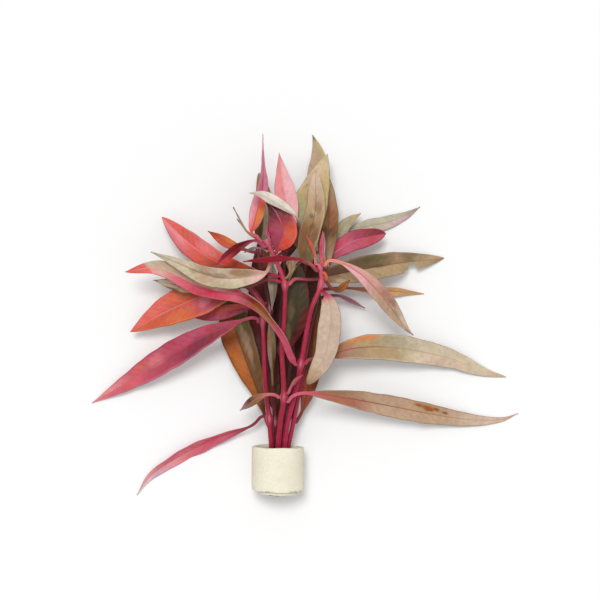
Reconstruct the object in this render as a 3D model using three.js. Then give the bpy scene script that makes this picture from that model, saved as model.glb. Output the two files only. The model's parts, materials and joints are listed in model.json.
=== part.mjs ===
// A cut bunch of red and olive alternanthera stems lying on its side. Their ends are held in a
// rolled strip of foam. Millimetres, +Z up. The bunch points along +Y, with the foam's mouth just
// past Y = 0, its middle at X = 0 and the surface that everything lies on at Z = 0.
import * as THREE from 'three';

// Foam strip, rolled about two turns around the stem ends
const FOAM_MOUTH_Y = 2.4;
const FOAM_LENGTH = 20.7;
const FOAM_THICKNESS = 2.5;
const FOAM_PITCH = 2.8;
const FOAM_TURNS = 2;
const FOAM_BORE_RADIUS = 6.2;
const FOAM_AXIS = [0.7, 12.6];
const FOAM_TELESCOPE = 3.4;
const FOAM_RECESS = 1.2;
const FOAM_SEGMENTS = 44;
const FOAM_PRESSED_THICKNESS = 0.7;

// Stems, cut level with the inner turns of the foam
const STEM_CUT_Y = -21.9;
const STEM_SIDES = 8;
const STEM_RINGS = 19;
const NODE_SWELLING = 0.75;
const NODE_REACH = 2.4;
const STEM_TAPER = 0.25;

// Leaves
const ATTACHMENT_GAP = 0.75;
const STALK_HALF_WIDTH = 0.8;
const RIB_THICKNESS = 0.9;
const MARGIN_THICKNESS = 0.4;
const TIP_HALF_WIDTH = 0.2;
const LONG_LEAF = 30;
const LONG_LEAF_RINGS = 11;
const SHORT_LEAF_RINGS = 7;

const DEGREE = Math.PI / 180;
const UP = new THREE.Vector3(0, 0, 1);

// The finish of each kind of piece
const FOAM_CREAM = { color: 0xf1ebd7, roughness: 0.95 };
const STEM_CRIMSON = { color: 0xaa1e46, roughness: 0.45 };
const LEAF_MAGENTA = { color: 0xb2425a, roughness: 0.5 };
const LEAF_CORAL = { color: 0xd7503c, roughness: 0.5 };
const LEAF_PINK = { color: 0xe1826e, roughness: 0.5 };
const LEAF_CRIMSON = { color: 0xa5324b, roughness: 0.5 };
const LEAF_OCHRE = { color: 0xaa6428, roughness: 0.5 };
const LEAF_OLIVE = { color: 0x82785a, roughness: 0.5 };
const LEAF_TAN = { color: 0xb9aa91, roughness: 0.5 };
const LEAF_GREEN = { color: 0x4a5436, roughness: 0.5 };

// Each stem runs through its points from inside the foam to its top joint. Its joints are the
// swollen places, given by their distance along Y.
const STEMS = {
  stem_left: {
    radius: 1.3,
    joints: [16, 64.5],
    path: [[-3, -8, 12.2], [-3, 2, 12.3], [-4, 15, 14], [-5.2, 25.4, 16], [-6.1, 35.3, 18.5],
      [-6.6, 50.1, 21.5], [-7.2, 64.3, 24], [-7.5, 67.5, 24.5]],
  },
  stem_middle: {
    radius: 1.35,
    joints: [27.3, 81.5, 102.5],
    path: [[0.2, -8, 15.2], [0.3, 2, 15.6], [1.5, 15.8, 20], [3.2, 27.3, 24], [2.3, 50.3, 29],
      [3.3, 64.9, 31.5], [3.8, 80.8, 34], [2.3, 86.5, 35], [-1, 94.6, 37], [-5.3, 103.5, 39]],
  },
  stem_right: {
    radius: 1.35,
    joints: [43.5, 82.2, 91.3],
    path: [[3.2, -8, 15], [3.3, 2, 15.3], [5.1, 15.5, 18.5], [7.6, 25.5, 21.5], [10, 35.6, 24.5],
      [12.5, 50.3, 28], [16.3, 69.7, 31], [21.1, 82.2, 33], [20.4, 92.3, 35]],
  },
  stem_right_thin: {
    radius: 1.15,
    joints: [80, 90],
    path: [[5.2, -8, 11.8], [5.3, 2, 11.9], [8.4, 17, 14], [12, 38, 16.5], [16, 60, 17.5],
      [20.5, 80, 19], [22, 91, 20]],
  },
  stem_left_back: {
    radius: 1.2,
    joints: [14, 70, 98.5],
    path: [[-1.2, -8, 9], [-1.2, 2, 9], [-1.4, 17, 11], [-2.3, 30, 13.5], [-2.8, 50, 16.5],
      [-3.7, 68.5, 19], [-5.5, 80, 20.5], [-7.7, 89.5, 21.5], [-8.5, 100, 22]],
  },
  stem_back: {
    radius: 1.2,
    joints: [47, 95, 103],
    path: [[1.2, -8, 11.9], [1.3, 2, 11.9], [3.5, 20, 12.5], [7, 50, 16], [11, 74.5, 20],
      [13.4, 93.5, 23.5], [14, 104, 25]],
  },
  stem_under: {
    radius: 1.1,
    joints: [30, 50, 84],
    path: [[2.8, -8, 8.6], [2.8, 2, 8.6], [3.5, 25, 8.5], [1, 55, 8.5], [2.5, 85.5, 9.5]],
  },
};

// Each leaf leaves its stem at a distance along Y, and its midrib runs through the points to the
// tip. half is the blade's greatest half width and widest tells where along the blade it comes. A
// full under 1 makes both of the blade's ends broader. stalk is the part of the length that is
// stalk, and stalkHalf half its width. roll turns the upper side about the midrib, from 0 where it
// looks up to 180 where it looks down, spread evenly from base to tip. fold lifts both margins
// towards the upper side. Angles are degrees.
const LEAVES = [
  {
    name: 'leaf_left_magenta', stem: 'stem_left', at: 64, finish: LEAF_MAGENTA,
    half: 6.6, widest: 0.47, stalk: 0.08, roll: [0, 0, 0], fold: 10,
    path: [[-10, 65.5, 26], [-16, 65, 26.5], [-35.4, 56.9, 21], [-53, 47, 13], [-73.5, 34.3, 5],
      [-92.9, 23, 0.3]],
  },
  {
    name: 'leaf_low_left_ribbon', stem: 'stem_left_back', at: 16.5, finish: LEAF_PINK,
    half: 4, widest: 0.5, stalk: 0.12, roll: [-20, -35, -35, -20], fold: 15,
    path: [[-8, 16.8, 10], [-14, 11.7, 7.5], [-31.3, 5.2, 3.5], [-49, -3.5, 1.5], [-63, -13, 0.3],
      [-70.5, -23, 0]],
  },
  {
    name: 'leaf_left_orange', stem: 'stem_left_back', at: 70, finish: LEAF_CORAL,
    half: 9, widest: 0.4, full: 0.8, stalk: 0.2, stalkHalf: 1.6, roll: [0, 0, 0], fold: 10,
    path: [[-7, 71.5, 20.5], [-13.5, 80.5, 22], [-20, 82.8, 22.3], [-35.8, 77, 20],
      [-55.2, 68.6, 14.5], [-73, 58.7, 8]],
  },
  {
    name: 'leaf_left_rose', stem: 'stem_left_back', at: 73, finish: LEAF_CORAL,
    half: 3.4, widest: 0.5, stalk: 0.15, roll: [0, 0], fold: 10,
    path: [[-8.5, 71.5, 17.2], [-20, 70, 16], [-33, 66.8, 13.5], [-42, 65.7, 10]],
  },
  {
    name: 'leaf_left_dark_tip', stem: 'stem_middle', at: 83.5, finish: LEAF_OLIVE,
    half: 3.3, widest: 0.6, stalk: 0.35, roll: [0, 0], fold: 10,
    path: [[-1, 84.1, 33.5], [-6, 84, 32], [-13, 81.3, 29], [-26.7, 80.8, 26.5],
      [-44.4, 81.3, 24.2], [-60.6, 84.2, 20]],
  },
  {
    name: 'leaf_left_long', stem: 'stem_right', at: 43, finish: LEAF_TAN,
    half: 4.6, widest: 0.62, full: 0.75, stalk: 0.1, stalkHalf: 1.7, roll: [0, 0, 0], fold: 22,
    path: [[6.2, 48, 31.5], [2.8, 56.2, 34.5], [-4.4, 65.9, 36], [-10.6, 72.1, 35.5],
      [-20.3, 76.9, 32.5], [-37.2, 80.8, 29], [-56.8, 90, 25.5], [-74.3, 88.2, 21]],
  },
  {
    name: 'leaf_left_pale', stem: 'stem_middle', at: 94, finish: LEAF_TAN,
    half: 5.2, widest: 0.36, stalk: 0.1, roll: [0, -20, -20], fold: 14,
    path: [[-3.4, 91.7, 39.5], [-5.8, 87.4, 39.8], [-15.3, 85.4, 39], [-25, 85, 38.2],
      [-34.6, 86.8, 37], [-46.8, 91.8, 33.5], [-61.3, 97.8, 28]],
  },
  {
    name: 'leaf_upper_left_coral', stem: 'stem_middle', at: 86.3, finish: LEAF_CORAL,
    half: 6, widest: 0.55, full: 0.75, stalk: 0.1, roll: [0, 0], fold: 12,
    path: [[-3.4, 86.9, 34.8], [-11.8, 88.3, 31.5], [-21, 90.3, 29], [-30.2, 93.4, 26.5],
      [-43.6, 102.4, 19], [-57.2, 115.5, 10]],
  },
  {
    name: 'leaf_upper_left_orange', stem: 'stem_left_back', at: 98, finish: LEAF_CORAL,
    half: 2.6, widest: 0.5, stalk: 0.15, roll: [0, 0], fold: 12,
    path: [[-13.4, 98.3, 21], [-23.3, 101.8, 19], [-34.2, 108.4, 14]],
  },
  {
    name: 'leaf_maroon_arch', stem: 'stem_middle', at: 100.8, finish: LEAF_CRIMSON,
    half: 2.7, widest: 0.6, stalk: 0.12, roll: [0, 0], fold: 35,
    path: [[-10.4, 102.8, 42], [-17.1, 100.2, 42.5], [-23.4, 95.6, 41.8], [-28.8, 91.4, 41.5]],
  },
  {
    name: 'leaf_small_lilac', stem: 'stem_middle', at: 98.5, finish: LEAF_TAN,
    half: 0.7, widest: 0.55, stalk: 0.2, stalkHalf: 0.5, roll: [0, 0], fold: 10,
    path: [[-8, 99.5, 37], [-12.5, 99, 36], [-15.8, 97.2, 34.5]],
  },
  {
    name: 'leaf_dry_long', stem: 'stem_middle', at: 101.8, finish: LEAF_OLIVE,
    half: 0.5, widest: 0.5, stalk: 0.2, stalkHalf: 0.45, roll: [0, 0], fold: 20,
    path: [[-9.5, 104.4, 36], [-14.4, 107.2, 36.6], [-21.1, 119.1, 36.5]],
  },
  {
    name: 'leaf_dry_short', stem: 'stem_middle', at: 100.4, finish: LEAF_OLIVE,
    half: 0.5, widest: 0.5, stalk: 0.2, stalkHalf: 0.45, roll: [0, 0], fold: 20,
    path: [[-8.6, 103.2, 33.6], [-13.4, 106.4, 33.8], [-19.4, 113.6, 33.5]],
  },
  {
    name: 'leaf_small_brown', stem: 'stem_middle', at: 27.3, finish: LEAF_TAN,
    half: 2.3, widest: 0.45, stalk: 0.25, roll: [0, 0], fold: 14,
    path: [[-1.5, 28.5, 26.5], [-6, 28.5, 28], [-11.3, 25.9, 26], [-18.3, 20.5, 20]],
  },
  {
    name: 'leaf_small_strip', stem: 'stem_middle', at: 29.5, finish: LEAF_PINK,
    half: 1.1, widest: 0.5, stalk: 0.2, roll: [0, 0], fold: 20,
    path: [[7.1, 33.2, 28.8], [9.5, 36.2, 29.5], [12.5, 38.2, 28.8]],
  },
  {
    name: 'leaf_back_ochre', stem: 'stem_left_back', at: 10, finish: LEAF_OCHRE,
    half: 8, widest: 0.58, full: 0.85, stalk: 0.08, roll: [0, 0], fold: 6,
    path: [[-5.3, 13.5, 7], [-10.3, 30, 7], [-15.8, 44.8, 7.5], [-20.9, 59.6, 6], [-22.9, 74, 3],
      [-22.5, 86, 0]],
  },
  {
    name: 'leaf_back_narrow', stem: 'stem_left_back', at: 33, finish: LEAF_OLIVE,
    half: 2.2, widest: 0.5, stalk: 0.1, roll: [0, 0], fold: 10,
    path: [[-2.6, 40, 18], [-2.8, 50, 20.8], [-3.2, 60, 22.3], [-3.8, 68, 23]],
  },
  {
    name: 'leaf_top_pink', stem: 'stem_middle', at: 103.4, finish: LEAF_PINK,
    half: 3.9, widest: 0.3, stalk: 0.12, roll: [0, 5, 25, 58, 74, 76], fold: 6,
    path: [[-9.6, 104.9, 39.5], [-12.3, 106.6, 38.6], [-10.6, 112.9, 36.8], [-8.7, 121.2, 33.5],
      [-7, 130.1, 29.5], [-7, 142.6, 24], [-7.1, 155.8, 18]],
  },
  {
    name: 'leaf_top_brown', stem: 'stem_left_back', at: 99.3, finish: LEAF_OLIVE,
    half: 4.6, widest: 0.4, full: 0.6, stalk: 0.05, roll: [0, 0], fold: 10,
    path: [[-8, 104, 20.5], [-7.2, 111.3, 18], [-7, 123.9, 11], [-8, 131.7, 5], [-9.5, 138, 0]],
  },
  {
    name: 'leaf_top_crimson', stem: 'stem_middle', at: 96.5, finish: LEAF_CRIMSON,
    half: 7, widest: 0.42, stalk: 0.06, roll: [0, 0], fold: 10,
    path: [[0.8, 100.2, 42], [3, 106.4, 43.8], [1.2, 113.3, 43.9], [-2, 118.3, 43.3],
      [-5.2, 121.2, 42.5]],
  },
  {
    name: 'leaf_top_folded', stem: 'stem_middle', at: 94.8, finish: LEAF_TAN,
    half: 2.7, widest: 0.55, stalk: 0.42, roll: [150, 150, 155, 160], fold: 24,
    path: [[4.6, 99, 36.8], [7.8, 104, 37.4], [10, 108.3, 39.2], [10.1, 112, 43.4],
      [8.1, 115.1, 46.9], [2.4, 119.1, 48.8], [-3, 122.2, 48.9], [-7, 124.3, 48],
      [-12.8, 125.4, 45]],
  },
  {
    name: 'leaf_top_salmon', stem: 'stem_middle', at: 98.5, finish: LEAF_PINK,
    half: 5.6, widest: 0.38, stalk: 0.12, roll: [0, 0], fold: 10,
    path: [[1.5, 103, 34.5], [4.6, 111, 31], [4.8, 120.1, 28], [2.8, 132, 22.5], [0.7, 146.8, 15]],
  },
  {
    name: 'leaf_top_far', stem: 'stem_back', at: 103.3, finish: LEAF_OLIVE,
    half: 6, widest: 0.5, stalk: 0.12, roll: [0, 0], fold: 8,
    path: [[15.9, 111.3, 15], [19.4, 129.5, 5.5], [20.4, 141.8, 1.5], [19.5, 150, 0.3],
      [17.3, 157, 0]],
  },
  {
    name: 'leaf_top_olive', stem: 'stem_back', at: 95, finish: LEAF_TAN,
    half: 8.6, widest: 0.35, full: 0.85, stalk: 0.08, roll: [0, 0], fold: 8,
    path: [[11.5, 99, 28], [13.2, 109.4, 27.5], [15.9, 120.7, 24.5], [19.2, 130.7, 20.5],
      [22.2, 139.9, 15.5], [24.6, 146.6, 11]],
  },
  {
    name: 'leaf_top_tan', stem: 'stem_right', at: 88.5, finish: LEAF_OLIVE,
    half: 5, widest: 0.4, full: 0.5, stalk: 0.08, roll: [0, 0], fold: 12,
    path: [[13.9, 96, 33], [15.2, 105, 32.5], [17.8, 114.6, 31.2], [18.7, 121.4, 30],
      [18.6, 128.8, 27.5], [18.8, 137.3, 23.5]],
  },
  {
    name: 'leaf_top_right_brown', stem: 'stem_right_thin', at: 90.6, finish: LEAF_OLIVE,
    half: 4.9, widest: 0.36, full: 0.6, stalk: 0.05, roll: [0, 0], fold: 10,
    path: [[23.7, 97.9, 21], [24.5, 106.3, 19.5], [25.1, 116.2, 17], [24.6, 126.2, 14.5],
      [22.6, 140, 9]],
  },
  {
    name: 'leaf_crimson_edge', stem: 'stem_right', at: 88.9, finish: LEAF_CRIMSON,
    half: 3.6, widest: 0.5, stalk: 0.15, stalkHalf: 1.1, roll: [-50, -66, -70, -70], fold: 14,
    path: [[16.2, 91.5, 38.6], [11, 94, 42.8], [3.9, 94.7, 46], [-3.2, 94.2, 46.5],
      [-10.4, 93.5, 46], [-16.1, 92.6, 44]],
  },
  {
    name: 'leaf_green_edge', stem: 'stem_middle', at: 92.5, finish: LEAF_GREEN,
    half: 2.6, widest: 0.4, stalk: 0.1, roll: [20, 30, 40], fold: 10,
    path: [[-2.4, 91.6, 32.6], [-2, 86, 30.2], [-1.9, 80, 28], [-2.2, 75, 26.6],
      [-2.8, 69.5, 25.5]],
  },
  {
    name: 'leaf_small_tan', stem: 'stem_middle', at: 84.5, finish: LEAF_TAN,
    half: 1.9, widest: 0.5, stalk: 0.2, roll: [0, 0], fold: 10,
    path: [[6, 86.6, 36], [7, 90, 35.6], [6.6, 95, 34.4]],
  },
  {
    name: 'leaf_tip_orange', stem: 'stem_right', at: 92, finish: LEAF_CORAL,
    half: 0.75, widest: 0.5, stalk: 0.15, stalkHalf: 0.6, roll: [0, 0], fold: 14,
    path: [[18, 96.8, 38], [16.2, 101.2, 38.6], [13.9, 105.6, 38]],
  },
  {
    name: 'leaf_tip_red', stem: 'stem_right', at: 92, finish: LEAF_CORAL,
    half: 0.8, widest: 0.5, stalk: 0.15, stalkHalf: 0.6, roll: [0, 0], fold: 14,
    path: [[21, 96.4, 37.6], [21.2, 101.4, 38], [22, 107.6, 36.8]],
  },
  {
    name: 'leaf_tip_lilac', stem: 'stem_right', at: 91.5, finish: LEAF_TAN,
    half: 0.8, widest: 0.5, stalk: 0.15, stalkHalf: 0.5, roll: [0, 0], fold: 20,
    path: [[22.2, 96, 33.8], [22.4, 100.5, 32.6], [22.4, 107.2, 30.5]],
  },
  {
    name: 'leaf_tip_low', stem: 'stem_right', at: 87.5, finish: LEAF_CORAL,
    half: 1, widest: 0.5, stalk: 0.15, roll: [0, 0], fold: 20,
    path: [[23.2, 86.8, 36], [23.8, 83.6, 36.5]],
  },
  {
    name: 'leaf_tip_pink', stem: 'stem_middle', at: 103.4, finish: LEAF_PINK,
    half: 1.3, widest: 0.5, stalk: 0.15, roll: [0, 0], fold: 20,
    path: [[-4.4, 106.4, 40.6], [-3.4, 110.8, 40.4]],
  },
  {
    name: 'leaf_tip_rose', stem: 'stem_middle', at: 100.6, finish: LEAF_PINK,
    half: 1.2, widest: 0.5, stalk: 0.15, roll: [0, 0], fold: 20,
    path: [[-0.9, 103.4, 38.2], [0, 107.4, 38]],
  },
  {
    name: 'leaf_back_dark_green', stem: 'stem_back', at: 47, finish: LEAF_GREEN,
    half: 6.4, widest: 0.5, full: 0.75, stalk: 0.1, roll: [0, 0], fold: 6,
    path: [[6.3, 52, 20.5], [9.1, 67.2, 24.2], [10, 79.4, 26], [11, 91.5, 26.8]],
  },
  {
    name: 'leaf_back_right_green', stem: 'stem_right_thin', at: 14, finish: LEAF_GREEN,
    half: 5.6, widest: 0.5, full: 0.8, stalk: 0.08, roll: [0, 0], fold: 8,
    path: [[11.8, 19, 9.5], [14.3, 27.5, 9.8], [16.3, 39.8, 10.5], [17.3, 54.6, 11],
      [18.6, 67.1, 11.5], [20.6, 79, 11]],
  },
  {
    name: 'leaf_pale_hanging', stem: 'stem_right', at: 79.3, finish: LEAF_TAN,
    half: 5.8, widest: 0.4, full: 0.5, stalk: 0.05, stalkHalf: 1.3, roll: [150, 175, 180], fold: 10,
    path: [[24.3, 75.5, 34.5], [25.7, 67.3, 34.5], [25, 57.6, 32], [23.1, 47.8, 28.8],
      [18.6, 39.4, 25.5], [14.6, 33.4, 23]],
  },
  {
    name: 'leaf_right_short', stem: 'stem_right_thin', at: 84, finish: LEAF_TAN,
    half: 3.2, widest: 0.55, stalk: 0.25, roll: [0, 0], fold: 10,
    path: [[25.5, 92, 14], [28.5, 102, 11], [33.3, 111.6, 9], [41.3, 117.6, 6]],
  },
  {
    name: 'leaf_right_grey_green', stem: 'stem_under', at: 83, finish: LEAF_OLIVE,
    half: 3.5, widest: 0.6, stalk: 0.25, roll: [0, 0], fold: 8,
    path: [[10, 92, 7.5], [21, 99, 5.5], [31, 104.2, 4], [42, 110.3, 2.5], [53.4, 112.9, 1.2],
      [63.3, 116.4, 0.3], [71, 121, 0]],
  },
  {
    name: 'leaf_right_crimson', stem: 'stem_right_thin', at: 87.5, finish: LEAF_CRIMSON,
    half: 5, widest: 0.55, full: 0.6, stalk: 0.12, roll: [0, 0], fold: 10,
    path: [[26.5, 96, 16.8], [35.6, 102.8, 15], [43, 105, 14], [49.4, 106.5, 12.5],
      [53.4, 107.3, 10.5]],
  },
  {
    name: 'leaf_right_olive', stem: 'stem_middle', at: 81.6, finish: LEAF_OLIVE,
    half: 6.4, widest: 0.4, full: 0.7, stalk: 0.2, roll: [0, 0], fold: 8,
    path: [[8.6, 84.6, 31], [14.9, 84.4, 28.5], [20, 84.9, 26.5], [30.5, 87.5, 23],
      [45.3, 90.3, 17], [60.4, 92.8, 9.5], [74.7, 94.4, 3], [83, 95.5, 0]],
  },
  {
    name: 'leaf_right_orange', stem: 'stem_right_thin', at: 80, finish: LEAF_OCHRE,
    half: 2.5, widest: 0.6, stalk: 0.15, roll: [0, 30, 30], fold: 10,
    path: [[33.2, 80.4, 13.5], [46.7, 79.5, 8], [60.8, 78.5, 3], [73, 77.5, 0]],
  },
  {
    name: 'leaf_right_pink', stem: 'stem_right', at: 91, finish: LEAF_PINK,
    half: 4.2, widest: 0.5, stalk: 0.1, roll: [0, 0], fold: 16,
    path: [[25.6, 93.4, 37.5], [32.6, 91.5, 38], [42.2, 85.1, 35.5], [52.2, 74.5, 28],
      [62.5, 61.3, 18.5], [66.7, 57.2, 15]],
  },
  {
    name: 'leaf_right_purple', stem: 'stem_right_thin', at: 75.5, finish: LEAF_PINK,
    half: 1.2, widest: 0.5, stalk: 0.3, roll: [0, 0], fold: 10,
    path: [[24, 76.3, 15], [30, 76.6, 10], [35.8, 74.3, 7], [43.4, 70.4, 4]],
  },
  {
    name: 'leaf_right_ochre', stem: 'stem_right', at: 83.3, finish: LEAF_OCHRE,
    half: 1.8, widest: 0.55, stalk: 0.2, roll: [0, 0], fold: 18,
    path: [[26.5, 80, 31.2], [30, 79.6, 29.8], [35.2, 84.2, 28.5]],
  },
  {
    name: 'leaf_lower_right', stem: 'stem_right', at: 43.5, finish: LEAF_TAN,
    half: 6.6, widest: 0.36, full: 0.8, stalk: 0.12, roll: [0, 0], fold: 8,
    path: [[15.6, 45.5, 24.5], [24, 47, 22.3], [36, 50.6, 19.5], [50, 51.5, 15.5], [66, 49.8, 10.5],
      [86, 45.3, 4.5], [103, 38.5, 0.8], [114, 36, 0]],
  },
  {
    name: 'leaf_bottom_right', stem: 'stem_middle', at: 25.4, finish: LEAF_TAN,
    half: 5.4, widest: 0.45, stalk: 0.08, roll: [0, 0], fold: 8,
    path: [[7.1, 27.6, 27.3], [11, 29.2, 27.6], [17.3, 29.1, 26], [35.5, 26.3, 19.5],
      [55.3, 22.3, 13], [75.5, 18, 7], [95.8, 14.7, 1.8], [111, 14.6, 0.2], [120, 17.8, 0]],
  },
  {
    name: 'leaf_under_top', stem: 'stem_under', at: 85, finish: LEAF_OLIVE,
    half: 5, widest: 0.5, stalk: 0.15, roll: [0, 0], fold: 6,
    path: [[3.6, 95, 6], [7, 106, 3], [10, 117, 1], [12, 127, 0]],
  },
  {
    name: 'leaf_under_middle', stem: 'stem_under', at: 50, finish: LEAF_OLIVE,
    half: 7.5, widest: 0.55, full: 0.7, stalk: 0.15, roll: [0, 0], fold: 6,
    path: [[6.8, 56, 6.5], [11.8, 68, 4], [14.5, 82, 2.4], [15.5, 97, 0.6]],
  },
  {
    name: 'leaf_under_left', stem: 'stem_under', at: 10, finish: LEAF_CRIMSON,
    half: 7, widest: 0.45, full: 0.6, stalk: 0.1, roll: [0, 0], fold: 6,
    path: [[-0.6, 17, 6.3], [-3.2, 30, 5.3], [-5.8, 46, 4.4], [-8, 64, 3], [-8.5, 80, 2.3],
      [-8, 96, 1.6], [-6.5, 110, 0]],
  },
  {
    name: 'leaf_under_stems', stem: 'stem_under', at: 4.6, finish: LEAF_CRIMSON,
    half: 8, widest: 0.45, full: 0.6, stalk: 0.06, roll: [0, 0], fold: 6,
    path: [[2, 8, 5.6], [3, 17, 3.8], [3.8, 30, 2], [5, 44, 0.8], [5, 60, 0.3], [3.5, 78, 0.2],
      [2.5, 94, 0]],
  },
];

// A closed body through rings of equal point counts. Each ring turns anticlockwise about the way
// to the next ring.
function closedLoft(rings) {
  const sides = rings[0].length;
  const last = (rings.length - 1) * sides;
  const faces = [];
  for (let start = 0; start < last; start += sides) {
    for (let side = 0; side < sides; side += 1) {
      const here = start + side;
      const next = start + (side + 1) % sides;
      faces.push(here, next, next + sides);
      faces.push(here, next + sides, here + sides);
    }
  }
  for (let side = 1; side < sides - 1; side += 1) {
    faces.push(0, side + 1, side);
    faces.push(last, last + side, last + side + 1);
  }
  const geometry = new THREE.BufferGeometry();
  const positions = rings.flat().flatMap((point) => point.toArray());
  geometry.setAttribute('position', new THREE.Float32BufferAttribute(positions, 3));
  geometry.setIndex(faces);
  geometry.computeVertexNormals();
  return geometry;
}

function namedMesh(name, geometry, finish) {
  const mesh = new THREE.Mesh(geometry, new THREE.MeshStandardMaterial({ metalness: 0, ...finish }));
  mesh.name = name;
  return mesh;
}

function smoothPath(points) {
  const vectors = points.map((point) => new THREE.Vector3(...point));
  return new THREE.CatmullRomCurve3(vectors, false, 'catmullrom', 0.5);
}

// The sideways and upward directions across a path, turned about it by a roll angle
function crossFrame(tangent, roll) {
  const side = new THREE.Vector3().crossVectors(UP, tangent).normalize();
  side.applyAxisAngle(tangent, roll);
  const face = new THREE.Vector3().crossVectors(tangent, side);
  return { side, face };
}

// A value spread evenly along a length, read at a part of it from 0 to 1
function spread(values, part) {
  const place = part * (values.length - 1);
  const first = Math.min(Math.floor(place), values.length - 2);
  return THREE.MathUtils.lerp(values[first], values[first + 1], place - first);
}

// The foam's section is a rectangle that winds outwards around the stems. The inner turns stand
// out at the cut end, and the roll is pressed flat where it lies on the surface.
function foamCollar() {
  const rings = [];
  for (let step = 0; step <= FOAM_SEGMENTS; step += 1) {
    const part = step / FOAM_SEGMENTS;
    const angle = -Math.PI / 2 - (1 - part) * FOAM_TURNS * 2 * Math.PI;
    const inner = FOAM_BORE_RADIUS + FOAM_PITCH * FOAM_TURNS * part;
    const low = FOAM_MOUTH_Y - FOAM_LENGTH - FOAM_TELESCOPE * (1 - part);
    const high = FOAM_MOUTH_Y - FOAM_RECESS * (1 - part);
    const corner = (radius, y, floor) => {
      const x = FOAM_AXIS[0] + radius * Math.cos(angle);
      const z = FOAM_AXIS[1] + radius * Math.sin(angle);
      return new THREE.Vector3(x, y, Math.max(z, floor));
    };
    const outer = inner + FOAM_THICKNESS;
    rings.push([
      corner(inner, low, FOAM_PRESSED_THICKNESS), corner(outer, low, 0),
      corner(outer, high, 0), corner(inner, high, FOAM_PRESSED_THICKNESS),
    ]);
  }
  return namedMesh('foam_collar', closedLoft(rings), FOAM_CREAM);
}

function stemPath(stem) {
  const [x, , z] = stem.path[0];
  return smoothPath([[x, STEM_CUT_Y, z], ...stem.path]);
}

// A stem thins evenly from the foam's mouth to its top, and swells at its joints
function stemRadius(stem, y) {
  const swellings = stem.joints.map((joint) => Math.exp(-(((y - joint) / NODE_REACH) ** 2)));
  const [, top] = stem.path[stem.path.length - 1];
  const taper = 1 - STEM_TAPER * THREE.MathUtils.clamp(y / top, 0, 1);
  return taper * (stem.radius + NODE_SWELLING * Math.max(...swellings));
}

// Rings stand evenly along the stem, with the nearest ones moved onto its joints
function stemMesh(name, stem) {
  const path = stemPath(stem);
  const length = path.getLength();
  const parts = Array.from({ length: STEM_RINGS }, (_, ring) => ring / (STEM_RINGS - 1));
  for (const joint of stem.joints) {
    const place = partAtY(path, joint);
    for (const offset of [-NODE_REACH, 0, NODE_REACH]) {
      parts.push(THREE.MathUtils.clamp(place + offset / length, 0, 1));
    }
  }
  parts.sort((a, b) => a - b);
  const spaced = parts.filter((part, index) => index === 0 || part - parts[index - 1] > 0.008);
  const rings = spaced.map((part) => {
    const centre = path.getPointAt(part);
    const { side, face } = crossFrame(path.getTangentAt(part), 0);
    const radius = stemRadius(stem, centre.y);
    return Array.from({ length: STEM_SIDES }, (_, index) => {
      const angle = (index / STEM_SIDES) * 2 * Math.PI;
      const point = centre.clone().addScaledVector(side, radius * Math.cos(angle));
      return point.addScaledVector(face, radius * Math.sin(angle));
    });
  });
  return namedMesh(name, closedLoft(rings), STEM_CRIMSON);
}

// How far along a stem's path it reaches a distance along Y
function partAtY(path, y) {
  let low = 0;
  let high = 1;
  for (let halving = 0; halving < 24; halving += 1) {
    const middle = (low + high) / 2;
    if (path.getPointAt(middle).y < y) {
      low = middle;
    } else {
      high = middle;
    }
  }
  return (low + high) / 2;
}

// The leaf's midrib starts just clear of its stem's skin, on the side that it leaves from. One that
// leaves along the stem stands off by its stalk as well.
function leafPath(leaf) {
  const stem = STEMS[leaf.stem];
  const path = stemPath(stem);
  const part = partAtY(path, leaf.at);
  const centre = path.getPointAt(part);
  const tangent = path.getTangentAt(part);
  const away = new THREE.Vector3(...leaf.path[0]).sub(centre);
  const along = Math.abs(away.normalize().dot(tangent));
  away.addScaledVector(tangent, -away.dot(tangent)).normalize();
  const reach = stemRadius(stem, centre.y) + ATTACHMENT_GAP + STALK_HALF_WIDTH * along ** 2;
  const start = centre.addScaledVector(away, reach);
  return smoothPath([start.toArray(), ...leaf.path]);
}

// Half the blade's width: a sine hump over the blade, never thinner than the tapering stalk
function leafHalfWidth(leaf, part) {
  const blade = Math.max(0, (part - leaf.stalk) / (1 - leaf.stalk));
  const power = Math.log(0.5) / Math.log(leaf.widest);
  const hump = leaf.half * Math.sin(Math.PI * blade ** power) ** (leaf.full ?? 1);
  const stalkHalf = part === 0 ? STALK_HALF_WIDTH : leaf.stalkHalf ?? STALK_HALF_WIDTH;
  const stalk = TIP_HALF_WIDTH + (stalkHalf - TIP_HALF_WIDTH) * (1 - blade);
  return Math.max(hump, stalk);
}

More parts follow.
